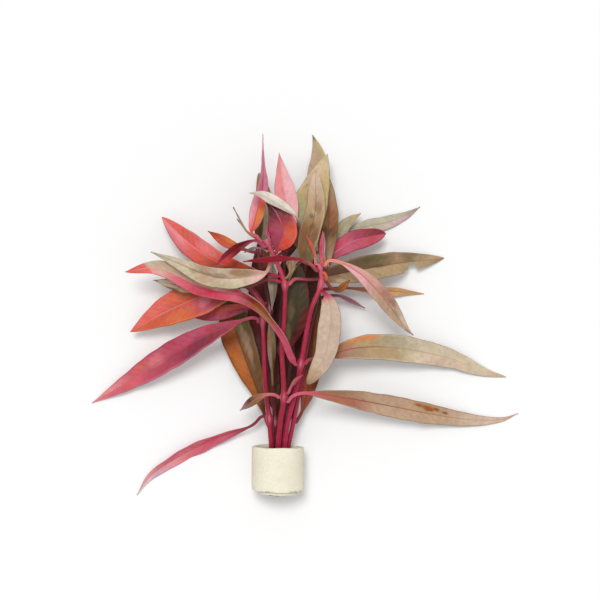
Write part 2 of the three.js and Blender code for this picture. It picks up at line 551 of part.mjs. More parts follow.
// A leaf's section has six corners: both margins and the midrib, above and below. Where it would
// go through the surface that the bunch lies on, it lies flat on it instead.
function leafMesh(leaf) {
  const path = leafPath(leaf);
  const count = path.getLength() > LONG_LEAF ? LONG_LEAF_RINGS : SHORT_LEAF_RINGS;
  const rings = Array.from({ length: count }, (_, ring) => {
    const part = ring / (count - 1);
    const centre = path.getPointAt(part);
    const { side, face } = crossFrame(path.getTangentAt(part), spread(leaf.roll, part) * DEGREE);
    const half = leafHalfWidth(leaf, part);
    const fold = leaf.fold * DEGREE * Math.sin(Math.PI * part);
    const corner = (across, thickness, above) => {
      const point = centre.clone().addScaledVector(side, across * half * Math.cos(fold));
      const lift = Math.abs(across) * half * Math.sin(fold) + above * thickness / 2;
      point.addScaledVector(face, lift);
      const underneath = above * face.z < 0;
      point.z = Math.max(point.z, underneath ? 0 : MARGIN_THICKNESS);
      return point;
    };
    return [
      corner(1, MARGIN_THICKNESS, -1), corner(1, MARGIN_THICKNESS, 1),
      corner(0, RIB_THICKNESS, 1), corner(-1, MARGIN_THICKNESS, 1),
      corner(-1, MARGIN_THICKNESS, -1), corner(0, RIB_THICKNESS, -1),
    ];
  });
  return namedMesh(leaf.name, closedLoft(rings), leaf.finish);
}

// The origin stands under the middle of everything, on the surface that the bunch lies on
function standOnOrigin(group) {
  group.updateMatrixWorld(true);
  const box = new THREE.Box3().setFromObject(group, true);
  const centre = box.getCenter(new THREE.Vector3());
  group.position.set(-centre.x, -centre.y, -box.min.z);
  return group;
}

const bunch = new THREE.Group();
bunch.add(foamCollar());
for (const [name, stem] of Object.entries(STEMS)) {
  bunch.add(stemMesh(name, stem));
}
for (const leaf of LEAVES) {
  bunch.add(leafMesh(leaf));
}

export default standOnOrigin(bunch);
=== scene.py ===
"""Builds the visual model of a cut bunch of alternanthera stems lying in its foam collar.

Lengths in the tables are millimetres in the bunch's own frame: +Y along the stems from the foam's
mouth, +Z up, the surface that the bunch lies on at Z = 0. Meshes are made in metres in the solid
model's frame.
"""
import json
import math

import bpy
import numpy as np
from bpy.props import FloatProperty, FloatVectorProperty, PointerProperty
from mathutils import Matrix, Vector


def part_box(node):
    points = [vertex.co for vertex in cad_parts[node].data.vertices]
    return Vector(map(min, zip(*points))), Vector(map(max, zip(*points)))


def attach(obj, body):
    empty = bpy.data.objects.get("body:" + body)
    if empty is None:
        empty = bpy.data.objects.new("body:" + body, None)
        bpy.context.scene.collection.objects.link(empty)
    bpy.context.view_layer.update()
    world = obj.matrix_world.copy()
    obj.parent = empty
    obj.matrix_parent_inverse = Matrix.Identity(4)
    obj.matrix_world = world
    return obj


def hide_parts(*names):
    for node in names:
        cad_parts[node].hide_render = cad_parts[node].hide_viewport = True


bl_info = {
    "name": "Alternanthera Bunch",
    "version": (1, 0, 0),
    "blender": (4, 5, 0),
    "location": "View3D > Sidebar > Bunch",
    "description": "Builds the leaves, stems and foam collar of a cut bunch of plants",
    "category": "Add Mesh",
}

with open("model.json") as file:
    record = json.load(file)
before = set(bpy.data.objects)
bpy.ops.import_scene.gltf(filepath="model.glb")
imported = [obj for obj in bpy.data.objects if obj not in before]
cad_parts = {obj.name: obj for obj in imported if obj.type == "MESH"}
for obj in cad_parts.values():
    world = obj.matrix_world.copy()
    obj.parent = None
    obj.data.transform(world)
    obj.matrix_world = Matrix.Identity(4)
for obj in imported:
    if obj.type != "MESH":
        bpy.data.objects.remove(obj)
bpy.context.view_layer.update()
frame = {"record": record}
SLOTS = {entry["node"]: entry["material_slot"] for entry in frame["record"]["subparts"]}

MM = 0.001
UP = np.array([0.0, 0.0, 1.0])
# How many steps a path takes between two of its points
STRETCH_STEPS = 80

# Foam strip, rolled two turns around the stem ends
FOAM_MOUTH_Y = 2.4
FOAM_LENGTH = 20.7
FOAM_THICKNESS = 2.5
FOAM_PITCH = 2.8
FOAM_TURNS = 2
FOAM_BORE_RADIUS = 6.2
FOAM_AXIS = (0.7, 12.6)
FOAM_TELESCOPE = 3.4
FOAM_RECESS = 1.2
FOAM_PRESSED_THICKNESS = 0.7
FOAM_PRESS_EASE = 0.04
# How softly the strip's corners are rounded, towards its faces and towards its ends
FOAM_FACE_POWER = 0.22
FOAM_END_POWER = 0.14
FOAM_ROWS = 200
FOAM_SIDES = 40
# The solid model's roll is this coarse, which its box depends on
FOAM_SOLID_SEGMENTS = 44
# How far the painted shade reaches at the cut end, in the step where the outer turn stops short
PAINTED_RIM_SHADE_REACH = 1.2

# Stems
STEM_CUT_Y = -21.9
STEM_TAPER = 0.25
STEM_RIDGES = 5
STEM_ROWS = 240
STEM_FINE_ROWS = 1200
STEM_SIDES = 20
NODE_SWELLING = 0.75
NODE_REACH = 2.4
# Reach of the joints' paler skin and its painted highlight
NODE_PALE_AND_HIGHLIGHT_REACH = 2
CUT_PALE_REACH = 0.6

# Leaves. Those with a half width over BROAD_LEAF have more columns in their mesh.
ATTACHMENT_GAP = 0.75
STALK_HALF_WIDTH = 0.8
STALK_ROUNDNESS = 1.4
TIP_HALF_WIDTH = 0.2
EDGE_THICKNESS = 0.02
RIB_HALF_WIDTH = 0.55
RIB_GROOVE = 0.14
RIB_RIDGE = 0.45
UNDER_RIB_SHADE = 0.82
VEIN_SPACING = 4.2
VEIN_LEAN = 0.85
PUCKER_HEIGHT = 0.09
REST_CLEARANCE = 0.06
REST_EASE = 0.25
LOWEST = 0.01
ROWS_PER_MM = 1.3
LEAST_ROWS = 18
MOST_ROWS = 120
BROAD_LEAF = 2.2
BROAD_COLUMNS = 25
NARROW_COLUMNS = 13

# How brightly the stage's light shows a white surface, and how much light the skin's gloss adds,
# which the palette's colours allow for
LIGHT_LEVEL = 1.12
GLOSS_LEVEL = 0.018
DARKEST_LEVEL = 0.003

# The mix node's share and two colours among its inputs, and its colour among its outputs
MIX_INPUTS = (0, 6, 7)
MIX_RESULT = 2
BUMP_DISTANCE = 0.0004

# Stage, in metres
FLOOR_REACH = 20.0
MAIN_LIGHT_PLACE = (-0.15, 0.55, 1.6)
FILL_LIGHT_PLACE = (0.1, -0.2, 1.2)
FILL_LIGHT_SIZE = 1.2
LIGHT_TARGET = (0.0, 0.0, 0.02)

# Camera: the middle and width of its view, and its height over the surface, in the bunch's frame
VIEW_MIDDLE = (11, 74.5)
VIEW_WIDTH = 300
VIEW_HEIGHT = 900
SENSOR_WIDTH = 36

# Colours of the leaves and stems, as they look under white light
PALETTE = {
    "crimson": 0xA82C48, "carmine": 0xA62636, "deep": 0x82243A, "wine": 0x501A26,
    "oxblood": 0x702823, "ruby": 0xA22A40, "garnet": 0x641E26, "maroon": 0x8A3C46,
    "magenta": 0xA44A5C, "raspberry": 0xBA5264, "cherry": 0xC84A5C, "rose": 0xCE6474,
    "pink": 0xDC809A, "orchid": 0xD48CA0, "petal": 0xEAB0B2, "blush": 0xD4A498, "coral": 0xE26A62,
    "salmon": 0xE49090, "peach": 0xE49682, "scarlet": 0xC43C3E, "vermilion": 0xCE5C48,
    "orange": 0xDA8448, "apricot": 0xD2A274, "ochre": 0xA8622C, "rust": 0x8E4A26,
    "brick": 0x984E3C, "clay": 0xA87054, "dusk": 0xB48070, "brown": 0x8E6A4A, "bark": 0x745034,
    "umber": 0x543C2C, "drab": 0x725C46, "fawn": 0xA6866C, "khaki": 0xB49A76, "tan": 0xBC9E84,
    "sand": 0xD0B898, "straw": 0xC2AA7C, "olive": 0x807050, "moss": 0x5E5A38, "sage": 0xAEA68A,
    "mist": 0xBEB7A1, "pistachio": 0xB4AE80, "forest": 0x4A4232, "grey": 0x8E847A,
    "mauve": 0xA97680, "lilac": 0xCCAAB6, "plum": 0x7A3A52, "shell": 0xCEB4A0, "linen": 0xCEBEA4,
    "ivory": 0xE2D6C8,
}

# A stem's path runs from inside the foam to its top joint, and its joints are given along Y. Its
# skin's colours are listed the same way.
STEMS = {
    "stem_left": dict(
        radius=1.3, joints=[16, 64.5], skin="ruby ruby ruby ruby ruby ruby raspberry",
        path=[[-3, -8, 12.2], [-3, 2, 12.3], [-4, 15, 14], [-5.2, 25.4, 16], [-6.1, 35.3, 18.5],
              [-6.6, 50.1, 21.5], [-7.2, 64.3, 24], [-7.5, 67.5, 24.5]],
    ),
    "stem_middle": dict(
        radius=1.35, joints=[27.3, 81.5, 102.5],
        # The cherry and rose at the top are partly the stem's own paler skin and partly painted
        # highlight
        skin="crimson ruby ruby ruby ruby ruby ruby cherry rose",
        path=[[0.2, -8, 15.2], [0.3, 2, 15.6], [1.5, 15.8, 20], [3.2, 27.3, 24], [2.3, 50.3, 29],
              [3.3, 64.9, 31.5], [3.8, 80.8, 34], [2.3, 86.5, 35], [-1, 94.6, 37],
              [-5.3, 103.5, 39]],
    ),
    "stem_right": dict(
        radius=1.35, joints=[43.5, 82.2, 91.3],
        # The cherry and rose at the top are partly the stem's own paler skin and partly painted
        # highlight
        skin="crimson crimson crimson ruby ruby crimson ruby cherry rose",
        path=[[3.2, -8, 15], [3.3, 2, 15.3], [5.1, 15.5, 18.5], [7.6, 25.5, 21.5],
              [10, 35.6, 24.5], [12.5, 50.3, 28], [16.3, 69.7, 31], [21.1, 82.2, 33],
              [20.4, 92.3, 35]],
    ),
    "stem_right_thin": dict(
        radius=1.15, joints=[80, 90], skin="crimson crimson ruby garnet wine",
        path=[[5.2, -8, 11.8], [5.3, 2, 11.9], [8.4, 17, 14], [12, 38, 16.5], [16, 60, 17.5],
              [20.5, 80, 19], [22, 91, 20]],
    ),
    "stem_left_back": dict(
        radius=1.2, joints=[14, 70, 98.5], skin="garnet garnet wine wine garnet",
        path=[[-1.2, -8, 9], [-1.2, 2, 9], [-1.4, 17, 11], [-2.3, 30, 13.5], [-2.8, 50, 16.5],
              [-3.7, 68.5, 19], [-5.5, 80, 20.5], [-7.7, 89.5, 21.5], [-8.5, 100, 22]],
    ),
    "stem_back": dict(
        radius=1.2, joints=[47, 95, 103], skin="garnet wine garnet garnet",
        path=[[1.2, -8, 11.9], [1.3, 2, 11.9], [3.5, 20, 12.5], [7, 50, 16], [11, 74.5, 20],
              [13.4, 93.5, 23.5], [14, 104, 25]],
    ),
    "stem_under": dict(
        radius=1.1, joints=[30, 50, 84], skin="garnet wine wine garnet",
        path=[[2.8, -8, 8.6], [2.8, 2, 8.6], [3.5, 25, 8.5], [1, 55, 8.5], [2.5, 85.5, 9.5]],
    ),
}

# A leaf grows from a place on its stem, given along Y, and its path runs from its stalk to its tip.
# half is half its greatest width, and widest the part of the blade's length where that lies. full
# below 1 makes the outline fuller. stalk is the part of the length that the stalk takes, and
# stalk_half the stalk's half width at its foot. roll turns the leaf about its midrib, listed from
# stalk to tip, and fold lifts both halves, in degrees. The left and right half are named as seen
# from stalk to tip, and left, right, rib and under list colours in that order. margin names the
# left and right edge's colour. A patch is a colour, its place along and across the leaf, its reach
# both ways and its strength. A tip is a colour, where it starts and how far it slants. A bite is a
# side, a place, a reach and a depth. What most leaves have stands here, and right is as left.
USUAL_LEAF = dict(
    widest=0.5, full=1, stalk=0.15, stalk_half=STALK_HALF_WIDTH, roll=[0], fold=10, margin="",
    patches=[], tip=None, bites=[],
)

LEFT_LEAVES = [
    dict(
        name="leaf_left_magenta", stem="stem_left", at=64, half=6.6, widest=0.47, stalk=0.08,
        path=[[-10, 65.5, 26], [-16, 65, 26.5], [-35.4, 56.9, 21], [-53, 47, 13], [-73.5, 34.3, 5],
              [-92.9, 23, 0.3]],
        left="magenta magenta maroon maroon magenta raspberry rose rose salmon",
        right="magenta magenta raspberry raspberry raspberry rose rose salmon salmon",
        rib="magenta magenta raspberry rose coral", under="salmon blush", margin="pink magenta",
        patches=[("plum", 0.33, 0.1, 0.05, 0.5, 0.4), ("plum", 0.42, 0.7, 0.06, 0.3, 0.4),
                 ("maroon", 0.24, -0.4, 0.05, 0.4, 0.4), ("salmon", 0.6, -0.2, 0.05, 0.5, 0.4),
                 ("vermilion", 0.7, -0.5, 0.06, 0.5, 0.5), ("coral", 0.76, 0.4, 0.06, 0.5, 0.4)],
    ),
    dict(
        name="leaf_low_left_ribbon", stem="stem_left_back", at=16.5, half=4, stalk=0.12,
        roll=[-20, -35, -35, -20], fold=15,
        path=[[-8, 16.8, 10], [-14, 11.7, 7.5], [-31.3, 5.2, 3.5], [-49, -3.5, 1.5],
              [-63, -13, 0.3], [-70.5, -23, 0]],
        left="maroon maroon rose rose salmon lilac ivory",
        right="maroon maroon rose rose rose salmon lilac", rib="maroon raspberry rose pink lilac",
        under="pink blush", margin="pink rose",
        patches=[("cherry", 0.42, -0.2, 0.05, 0.5, 0.4), ("salmon", 0.6, -0.2, 0.07, 0.4, 0.4)],
    ),
    dict(
        name="leaf_left_orange", stem="stem_left_back", at=70, half=9, widest=0.4, full=0.8,
        stalk=0.2, stalk_half=1.6,
        path=[[-7, 71.5, 20.5], [-13.5, 80.5, 22], [-20, 82.8, 22.3], [-35.8, 77, 20],
              [-55.2, 68.6, 14.5], [-73, 58.7, 8]],
        left="maroon maroon magenta brick raspberry vermilion vermilion vermilion coral",
        right="maroon maroon brick brick brick vermilion coral coral coral",
        rib="raspberry rose coral blush coral", under="salmon apricot", margin="orange coral",
        patches=[("salmon", 0.48, 0.35, 0.04, 0.3, 0.5), ("maroon", 0.36, 0.1, 0.05, 0.7, 0.6),
                 ("orange", 0.62, -0.5, 0.1, 0.4, 0.3), ("orange", 0.66, 0.6, 0.12, 0.4, 0.4),
                 ("rust", 0.55, -0.3, 0.06, 0.3, 0.3)],
    ),
    dict(
        name="leaf_left_rose", stem="stem_left_back", at=73, half=3.4,
        path=[[-8.5, 71.5, 17.2], [-20, 70, 16], [-33, 66.8, 13.5], [-42, 65.7, 10]],
        left="maroon magenta magenta raspberry", right="maroon vermilion magenta raspberry",
        rib="raspberry", under="salmon",
        patches=[("vermilion", 0.6, -0.3, 0.15, 0.5, 0.5)],
    ),
    dict(
        name="leaf_left_dark_tip", stem="stem_middle", at=83.5, half=3.3, widest=0.6, stalk=0.35,
        path=[[-1, 84.1, 33.5], [-6, 84, 32], [-13, 81.3, 29], [-26.7, 80.8, 26.5],
              [-44.4, 81.3, 24.2], [-60.6, 84.2, 20]],
        left="crimson maroon olive olive tan tan sage",
        right="crimson maroon olive tan tan shell sage", rib="maroon olive grey", under="sage",
        margin="olive moss",
        patches=[("umber", 0.99, 0, 0.025, 2, 0.8), ("umber", 0.84, 0.9, 0.06, 0.25, 0.8),
                 ("orange", 0.66, 0, 0.05, 0.8, 0.4)],
    ),
    dict(
        name="leaf_left_long", stem="stem_right", at=43, half=4.6, widest=0.62, full=0.75,
        stalk=0.1, stalk_half=1.7, fold=22,
        path=[[6.2, 48, 31.5], [2.8, 56.2, 34.5], [-4.4, 65.9, 36], [-10.6, 72.1, 35.5],
              [-20.3, 76.9, 32.5], [-37.2, 80.8, 29], [-56.8, 90, 25.5], [-74.3, 88.2, 21]],
        left="raspberry raspberry raspberry brown brick rose cherry cherry rose blush salmon coral",
        right="raspberry raspberry magenta rust oxblood raspberry blush tan tan linen linen coral",
        rib="raspberry raspberry raspberry brown rust rose cherry rose shell linen shell coral",
        under="blush tan", margin="rose linen", tip=("coral", 0.885, 0.02),
        patches=[("rust", 0.31, -0.4, 0.05, 0.5, 0.5), ("cherry", 0.6, 0.4, 0.06, 0.6, 0.7),
                 ("tan", 0.8, -0.5, 0.08, 0.7, 0.6)],
    ),
    dict(
        name="leaf_left_pale", stem="stem_middle", at=94, half=5.2, widest=0.36, stalk=0.1,
        roll=[0, -20, -20], fold=14,
        path=[[-3.4, 91.7, 39.5], [-5.8, 87.4, 39.8], [-15.3, 85.4, 39], [-25, 85, 38.2],
              [-34.6, 86.8, 37], [-46.8, 91.8, 33.5], [-61.3, 97.8, 28]],
        left="crimson shell shell linen shell tan linen linen mist mist",
        right="crimson blush fawn tan shell tan linen linen mist mist",
        rib="crimson shell fawn brown brown fawn grey", under="shell sand", margin="linen mist",
        patches=[("brown", 0.3, -0.6, 0.07, 0.4, 0.6), ("drab", 0.44, -0.15, 0.05, 0.25, 0.5),
                 ("drab", 0.54, -0.2, 0.06, 0.2, 0.4), ("pistachio", 0.4, 0.75, 0.1, 0.35, 0.6),
                 ("brown", 0.64, 0.1, 0.04, 0.2, 0.4), ("petal", 0.18, 0.3, 0.06, 0.6, 0.5)],
    ),
    dict(
        name="leaf_upper_left_coral", stem="stem_middle", at=86.3, half=6, widest=0.55, full=0.75,
        stalk=0.1, fold=12,
        path=[[-3.4, 86.9, 34.8], [-11.8, 88.3, 31.5], [-21, 90.3, 29], [-30.2, 93.4, 26.5],
              [-43.6, 102.4, 19], [-57.2, 115.5, 10]],
        left="crimson oxblood brick rust brick vermilion coral salmon salmon salmon",
        right="crimson oxblood rust vermilion vermilion coral coral vermilion coral coral",
        rib="crimson rust vermilion coral blush salmon coral", under="salmon blush",
        margin="cherry salmon",
        patches=[("cherry", 0.8, 0.8, 0.12, 0.4, 0.4), ("salmon", 0.55, -0.5, 0.1, 0.4, 0.4)],
    ),
    dict(
        name="leaf_upper_left_orange", stem="stem_left_back", at=98, half=2.6, fold=12,
        path=[[-13.4, 98.3, 21], [-23.3, 101.8, 19], [-34.2, 108.4, 14]],
        left="maroon rust vermilion vermilion rust", right="maroon rust orange vermilion rust",
        rib="maroon vermilion rust", under="apricot",
    ),
    dict(
        name="leaf_maroon_arch", stem="stem_middle", at=100.8, half=2.7, widest=0.6, stalk=0.12,
        fold=35,
        path=[[-10.4, 102.8, 42], [-17.1, 100.2, 42.5], [-23.4, 95.6, 41.8], [-28.8, 91.4, 41.5]],
        left="rose magenta maroon oxblood scarlet scarlet",
        right="rose maroon oxblood oxblood deep crimson", rib="raspberry maroon maroon",
        under="maroon",
    ),
    dict(
        name="leaf_small_lilac", stem="stem_middle", at=98.5, half=0.7, widest=0.55, stalk=0.2,
        stalk_half=0.5,
        path=[[-8, 99.5, 37], [-12.5, 99, 36], [-15.8, 97.2, 34.5]],
        left="mauve grey grey", rib="mauve", under="shell",
    ),
    dict(
        name="leaf_dry_long", stem="stem_middle", at=101.8, half=0.5, stalk=0.2, stalk_half=0.45,
        fold=20,
        path=[[-9.5, 104.4, 36], [-14.4, 107.2, 36.6], [-21.1, 119.1, 36.5]],
        left="mauve tan grey", rib="brown", under="tan",
    ),
    dict(
        name="leaf_dry_short", stem="stem_middle", at=100.4, half=0.5, stalk=0.2, stalk_half=0.45,
        fold=20,
        path=[[-8.6, 103.2, 33.6], [-13.4, 106.4, 33.8], [-19.4, 113.6, 33.5]],
        left="mauve sand grey", rib="brown", under="sand",
    ),
    dict(
        name="leaf_small_brown", stem="stem_middle", at=27.3, half=2.3, widest=0.45, stalk=0.25,
        fold=14,
        path=[[-1.5, 28.5, 26.5], [-6, 28.5, 28], [-11.3, 25.9, 26], [-18.3, 20.5, 20]],
        left="rose rose clay brown brown grey lilac",
        right="rose dusk clay brown umber mauve lilac", rib="rose dusk maroon", under="tan",
    ),
    dict(
        name="leaf_small_strip", stem="stem_middle", at=29.5, half=1.1, stalk=0.2, fold=20,
        path=[[7.1, 33.2, 28.8], [9.5, 36.2, 29.5], [12.5, 38.2, 28.8]],
        left="raspberry clay maroon", right="raspberry magenta maroon", rib="rose", under="salmon",
    ),
    dict(
        name="leaf_back_ochre", stem="stem_left_back", at=10, half=8, widest=0.58, full=0.85,
        stalk=0.08, fold=6,
        path=[[-5.3, 13.5, 7], [-10.3, 30, 7], [-15.8, 44.8, 7.5], [-20.9, 59.6, 6], [-22.9, 74, 3],
              [-22.5, 86, 0]],
        left="maroon rust ochre ochre ochre rust moss moss",
        right="maroon umber bark bark bark moss moss moss", rib="maroon umber umber olive",
        under="sage", margin="rust olive",
        patches=[("orange", 0.45, 0.5, 0.08, 0.4, 0.3), ("rust", 0.62, 0.5, 0.08, 0.5, 0.5),
                 ("tan", 0.55, -0.4, 0.15, 0.2, 0.4)],
    ),
    dict(
        name="leaf_back_narrow", stem="stem_left_back", at=33, half=2.2, stalk=0.1,
        path=[[-2.6, 40, 18], [-2.8, 50, 20.8], [-3.2, 60, 22.3], [-3.8, 68, 23]],
        left="umber grey brown tan", right="umber umber olive grey", rib="brown", under="grey",
    ),
]

TOP_LEAVES = [
    dict(
        name="leaf_top_pink", stem="stem_middle", at=103.4, half=3.9, widest=0.3, stalk=0.12,
        roll=[0, 5, 25, 58, 74, 76], fold=6,
        path=[[-9.6, 104.9, 39.5], [-12.3, 106.6, 38.6], [-10.6, 112.9, 36.8], [-8.7, 121.2, 33.5],
              [-7, 130.1, 29.5], [-7, 142.6, 24], [-7.1, 155.8, 18]],
        left="rose coral salmon pink pink orchid orchid orchid lilac",
        right="rose vermilion orange vermilion pink pink orchid orchid lilac",
        rib="rose magenta raspberry raspberry magenta magenta orchid lilac", under="blush",
        margin="orchid orchid",
        patches=[("orange", 0.26, -0.5, 0.06, 0.5, 0.5), ("petal", 0.3, 0.75, 0.12, 0.3, 0.4),
                 ("magenta", 0.5, 0.2, 0.12, 0.4, 0.4)],
    ),
    dict(
        name="leaf_top_brown", stem="stem_left_back", at=99.3, half=4.6, widest=0.4, full=0.6,
        stalk=0.05,
        path=[[-8, 104, 20.5], [-7.2, 111.3, 18], [-7, 123.9, 11], [-8, 131.7, 5], [-9.5, 138, 0]],
        # The forest and umber at the stalk end are painted shade under the stems and leaves above
        # it
        left="forest bark clay clay olive", right="forest sage pistachio clay olive",
        rib="umber sage", under="sage",
    ),
    dict(
        name="leaf_top_crimson", stem="stem_middle", at=96.5, half=7, widest=0.42, stalk=0.06,
        path=[[0.8, 100.2, 42], [3, 106.4, 43.8], [1.2, 113.3, 43.9], [-2, 118.3, 43.3],
              [-5.2, 121.2, 42.5]],
        # Maroon, wine and oxblood towards the tip, and the wine patch there, are painted shade
        # under the folded leaf above it
        left="magenta magenta magenta maroon wine wine",
        right="scarlet vermilion vermilion maroon oxblood oxblood",
        rib="raspberry raspberry magenta orchid magenta", under="salmon", margin="maroon coral",
        patches=[("raspberry", 0.45, 0.5, 0.15, 0.5, 0.3), ("wine", 0.9, 0, 0.16, 2, 0.8)],
    ),
    dict(
        name="leaf_top_folded", stem="stem_middle", at=94.8, half=2.7, widest=0.55, stalk=0.42,
        roll=[150, 150, 155, 160], fold=24,
        path=[[4.6, 99, 36.8], [7.8, 104, 37.4], [10, 108.3, 39.2], [10.1, 112, 43.4],
              [8.1, 115.1, 46.9], [2.4, 119.1, 48.8], [-3, 122.2, 48.9], [-7, 124.3, 48],
              [-12.8, 125.4, 45]],
        left="maroon deep wine wine oxblood oxblood", rib="maroon",
        under="maroon maroon maroon tan ivory ivory ivory mist", margin="ivory ivory",
    ),
    dict(
        name="leaf_top_salmon", stem="stem_middle", at=98.5, half=5.6, widest=0.38, stalk=0.12,
        path=[[1.5, 103, 34.5], [4.6, 111, 31], [4.8, 120.1, 28], [2.8, 132, 22.5],
              [0.7, 146.8, 15]],
        left="raspberry rose salmon salmon salmon salmon salmon",
        right="raspberry rose petal petal petal petal blush", rib="rose petal petal salmon",
        under="blush", margin="salmon petal",
        patches=[("rose", 0.96, 0, 0.04, 1.5, 0.3), ("rose", 0.42, -0.1, 0.05, 0.3, 0.4),
                 ("rose", 0.62, 0.2, 0.04, 0.2, 0.3)],
    ),
    dict(
        name="leaf_top_far", stem="stem_back", at=103.3, half=6, stalk=0.12, fold=8,
        path=[[15.9, 111.3, 15], [19.4, 129.5, 5.5], [20.4, 141.8, 1.5], [19.5, 150, 0.3],
              [17.3, 157, 0]],
        left="brown olive straw straw tan tan sage",
        right="brown olive straw sand sand straw pistachio", rib="brown sand tan", under="sage",
        margin="tan sand",
        patches=[("moss", 1, 0, 0.05, 2, 0.9), ("sand", 0.62, 0.2, 0.05, 0.5, 0.5),
                 ("brown", 0.8, -0.2, 0.05, 0.4, 0.3)],
    ),
    dict(
        name="leaf_top_olive", stem="stem_back", at=95, half=8.6, widest=0.35, full=0.85,
        stalk=0.08, fold=8,
        path=[[11.5, 99, 28], [13.2, 109.4, 27.5], [15.9, 120.7, 24.5], [19.2, 130.7, 20.5],
              [22.2, 139.9, 15.5], [24.6, 146.6, 11]],
        left="brown brown olive pistachio straw sand sand sand",
        right="brown brown clay khaki straw straw sand sand", rib="olive sand sand straw",
        under="sage", margin="sand straw",
        patches=[("sage", 0.3, 0.6, 0.08, 0.5, 0.6), ("pistachio", 0.42, 0.55, 0.09, 0.4, 0.7),
                 ("straw", 0.7, -0.6, 0.1, 0.4, 0.7), ("brown", 0.16, -0.1, 0.09, 0.8, 0.5),
                 ("brown", 0.62, 0.6, 0.015, 0.06, 0.8), ("moss", 0.33, 0.86, 0.035, 0.12, 0.8),
                 ("moss", 0.28, 0.5, 0.03, 0.12, 0.5)],
    ),
    dict(
        name="leaf_top_tan", stem="stem_right", at=88.5, half=5, widest=0.4, full=0.5, stalk=0.08,
        fold=12,
        path=[[13.9, 96, 33], [15.2, 105, 32.5], [17.8, 114.6, 31.2], [18.7, 121.4, 30],
              [18.6, 128.8, 27.5], [18.8, 137.3, 23.5]],
        left="moss bark brown brown khaki tan shell shell",
        right="moss brown brown brown khaki tan shell shell", rib="olive bark brown khaki",
        under="sage", margin="khaki sand",
        patches=[("umber", 0.45, -0.1, 0.03, 0.3, 0.5), ("umber", 0.54, 0.3, 0.02, 0.2, 0.6),
                 ("bark", 0.62, -0.3, 0.06, 0.4, 0.5), ("moss", 0.12, 0, 0.1, 1, 0.7),
                 ("bark", 0.36, -0.5, 0.06, 0.3, 0.6), ("bark", 0.34, 0.4, 0.08, 0.3, 0.5),
                 ("sand", 0.58, 0, 0.01, 0.2, 0.7)],
    ),
    dict(
        name="leaf_top_right_brown", stem="stem_right_thin", at=90.6, half=4.9, widest=0.36,
        full=0.6, stalk=0.05,
        path=[[23.7, 97.9, 21], [24.5, 106.3, 19.5], [25.1, 116.2, 17], [24.6, 126.2, 14.5],
              [22.6, 140, 9]],
        left="tan fawn bark brown brown fawn straw straw",
        right="tan fawn brown brown clay fawn straw olive", rib="brown bark brown khaki",
        under="tan", margin="olive olive",
        patches=[("umber", 0.34, -0.1, 0.05, 0.9, 0.7), ("rust", 0.4, -0.6, 0.05, 0.4, 0.5),
                 ("rust", 0.52, -0.3, 0.05, 0.4, 0.3)],
    ),
]

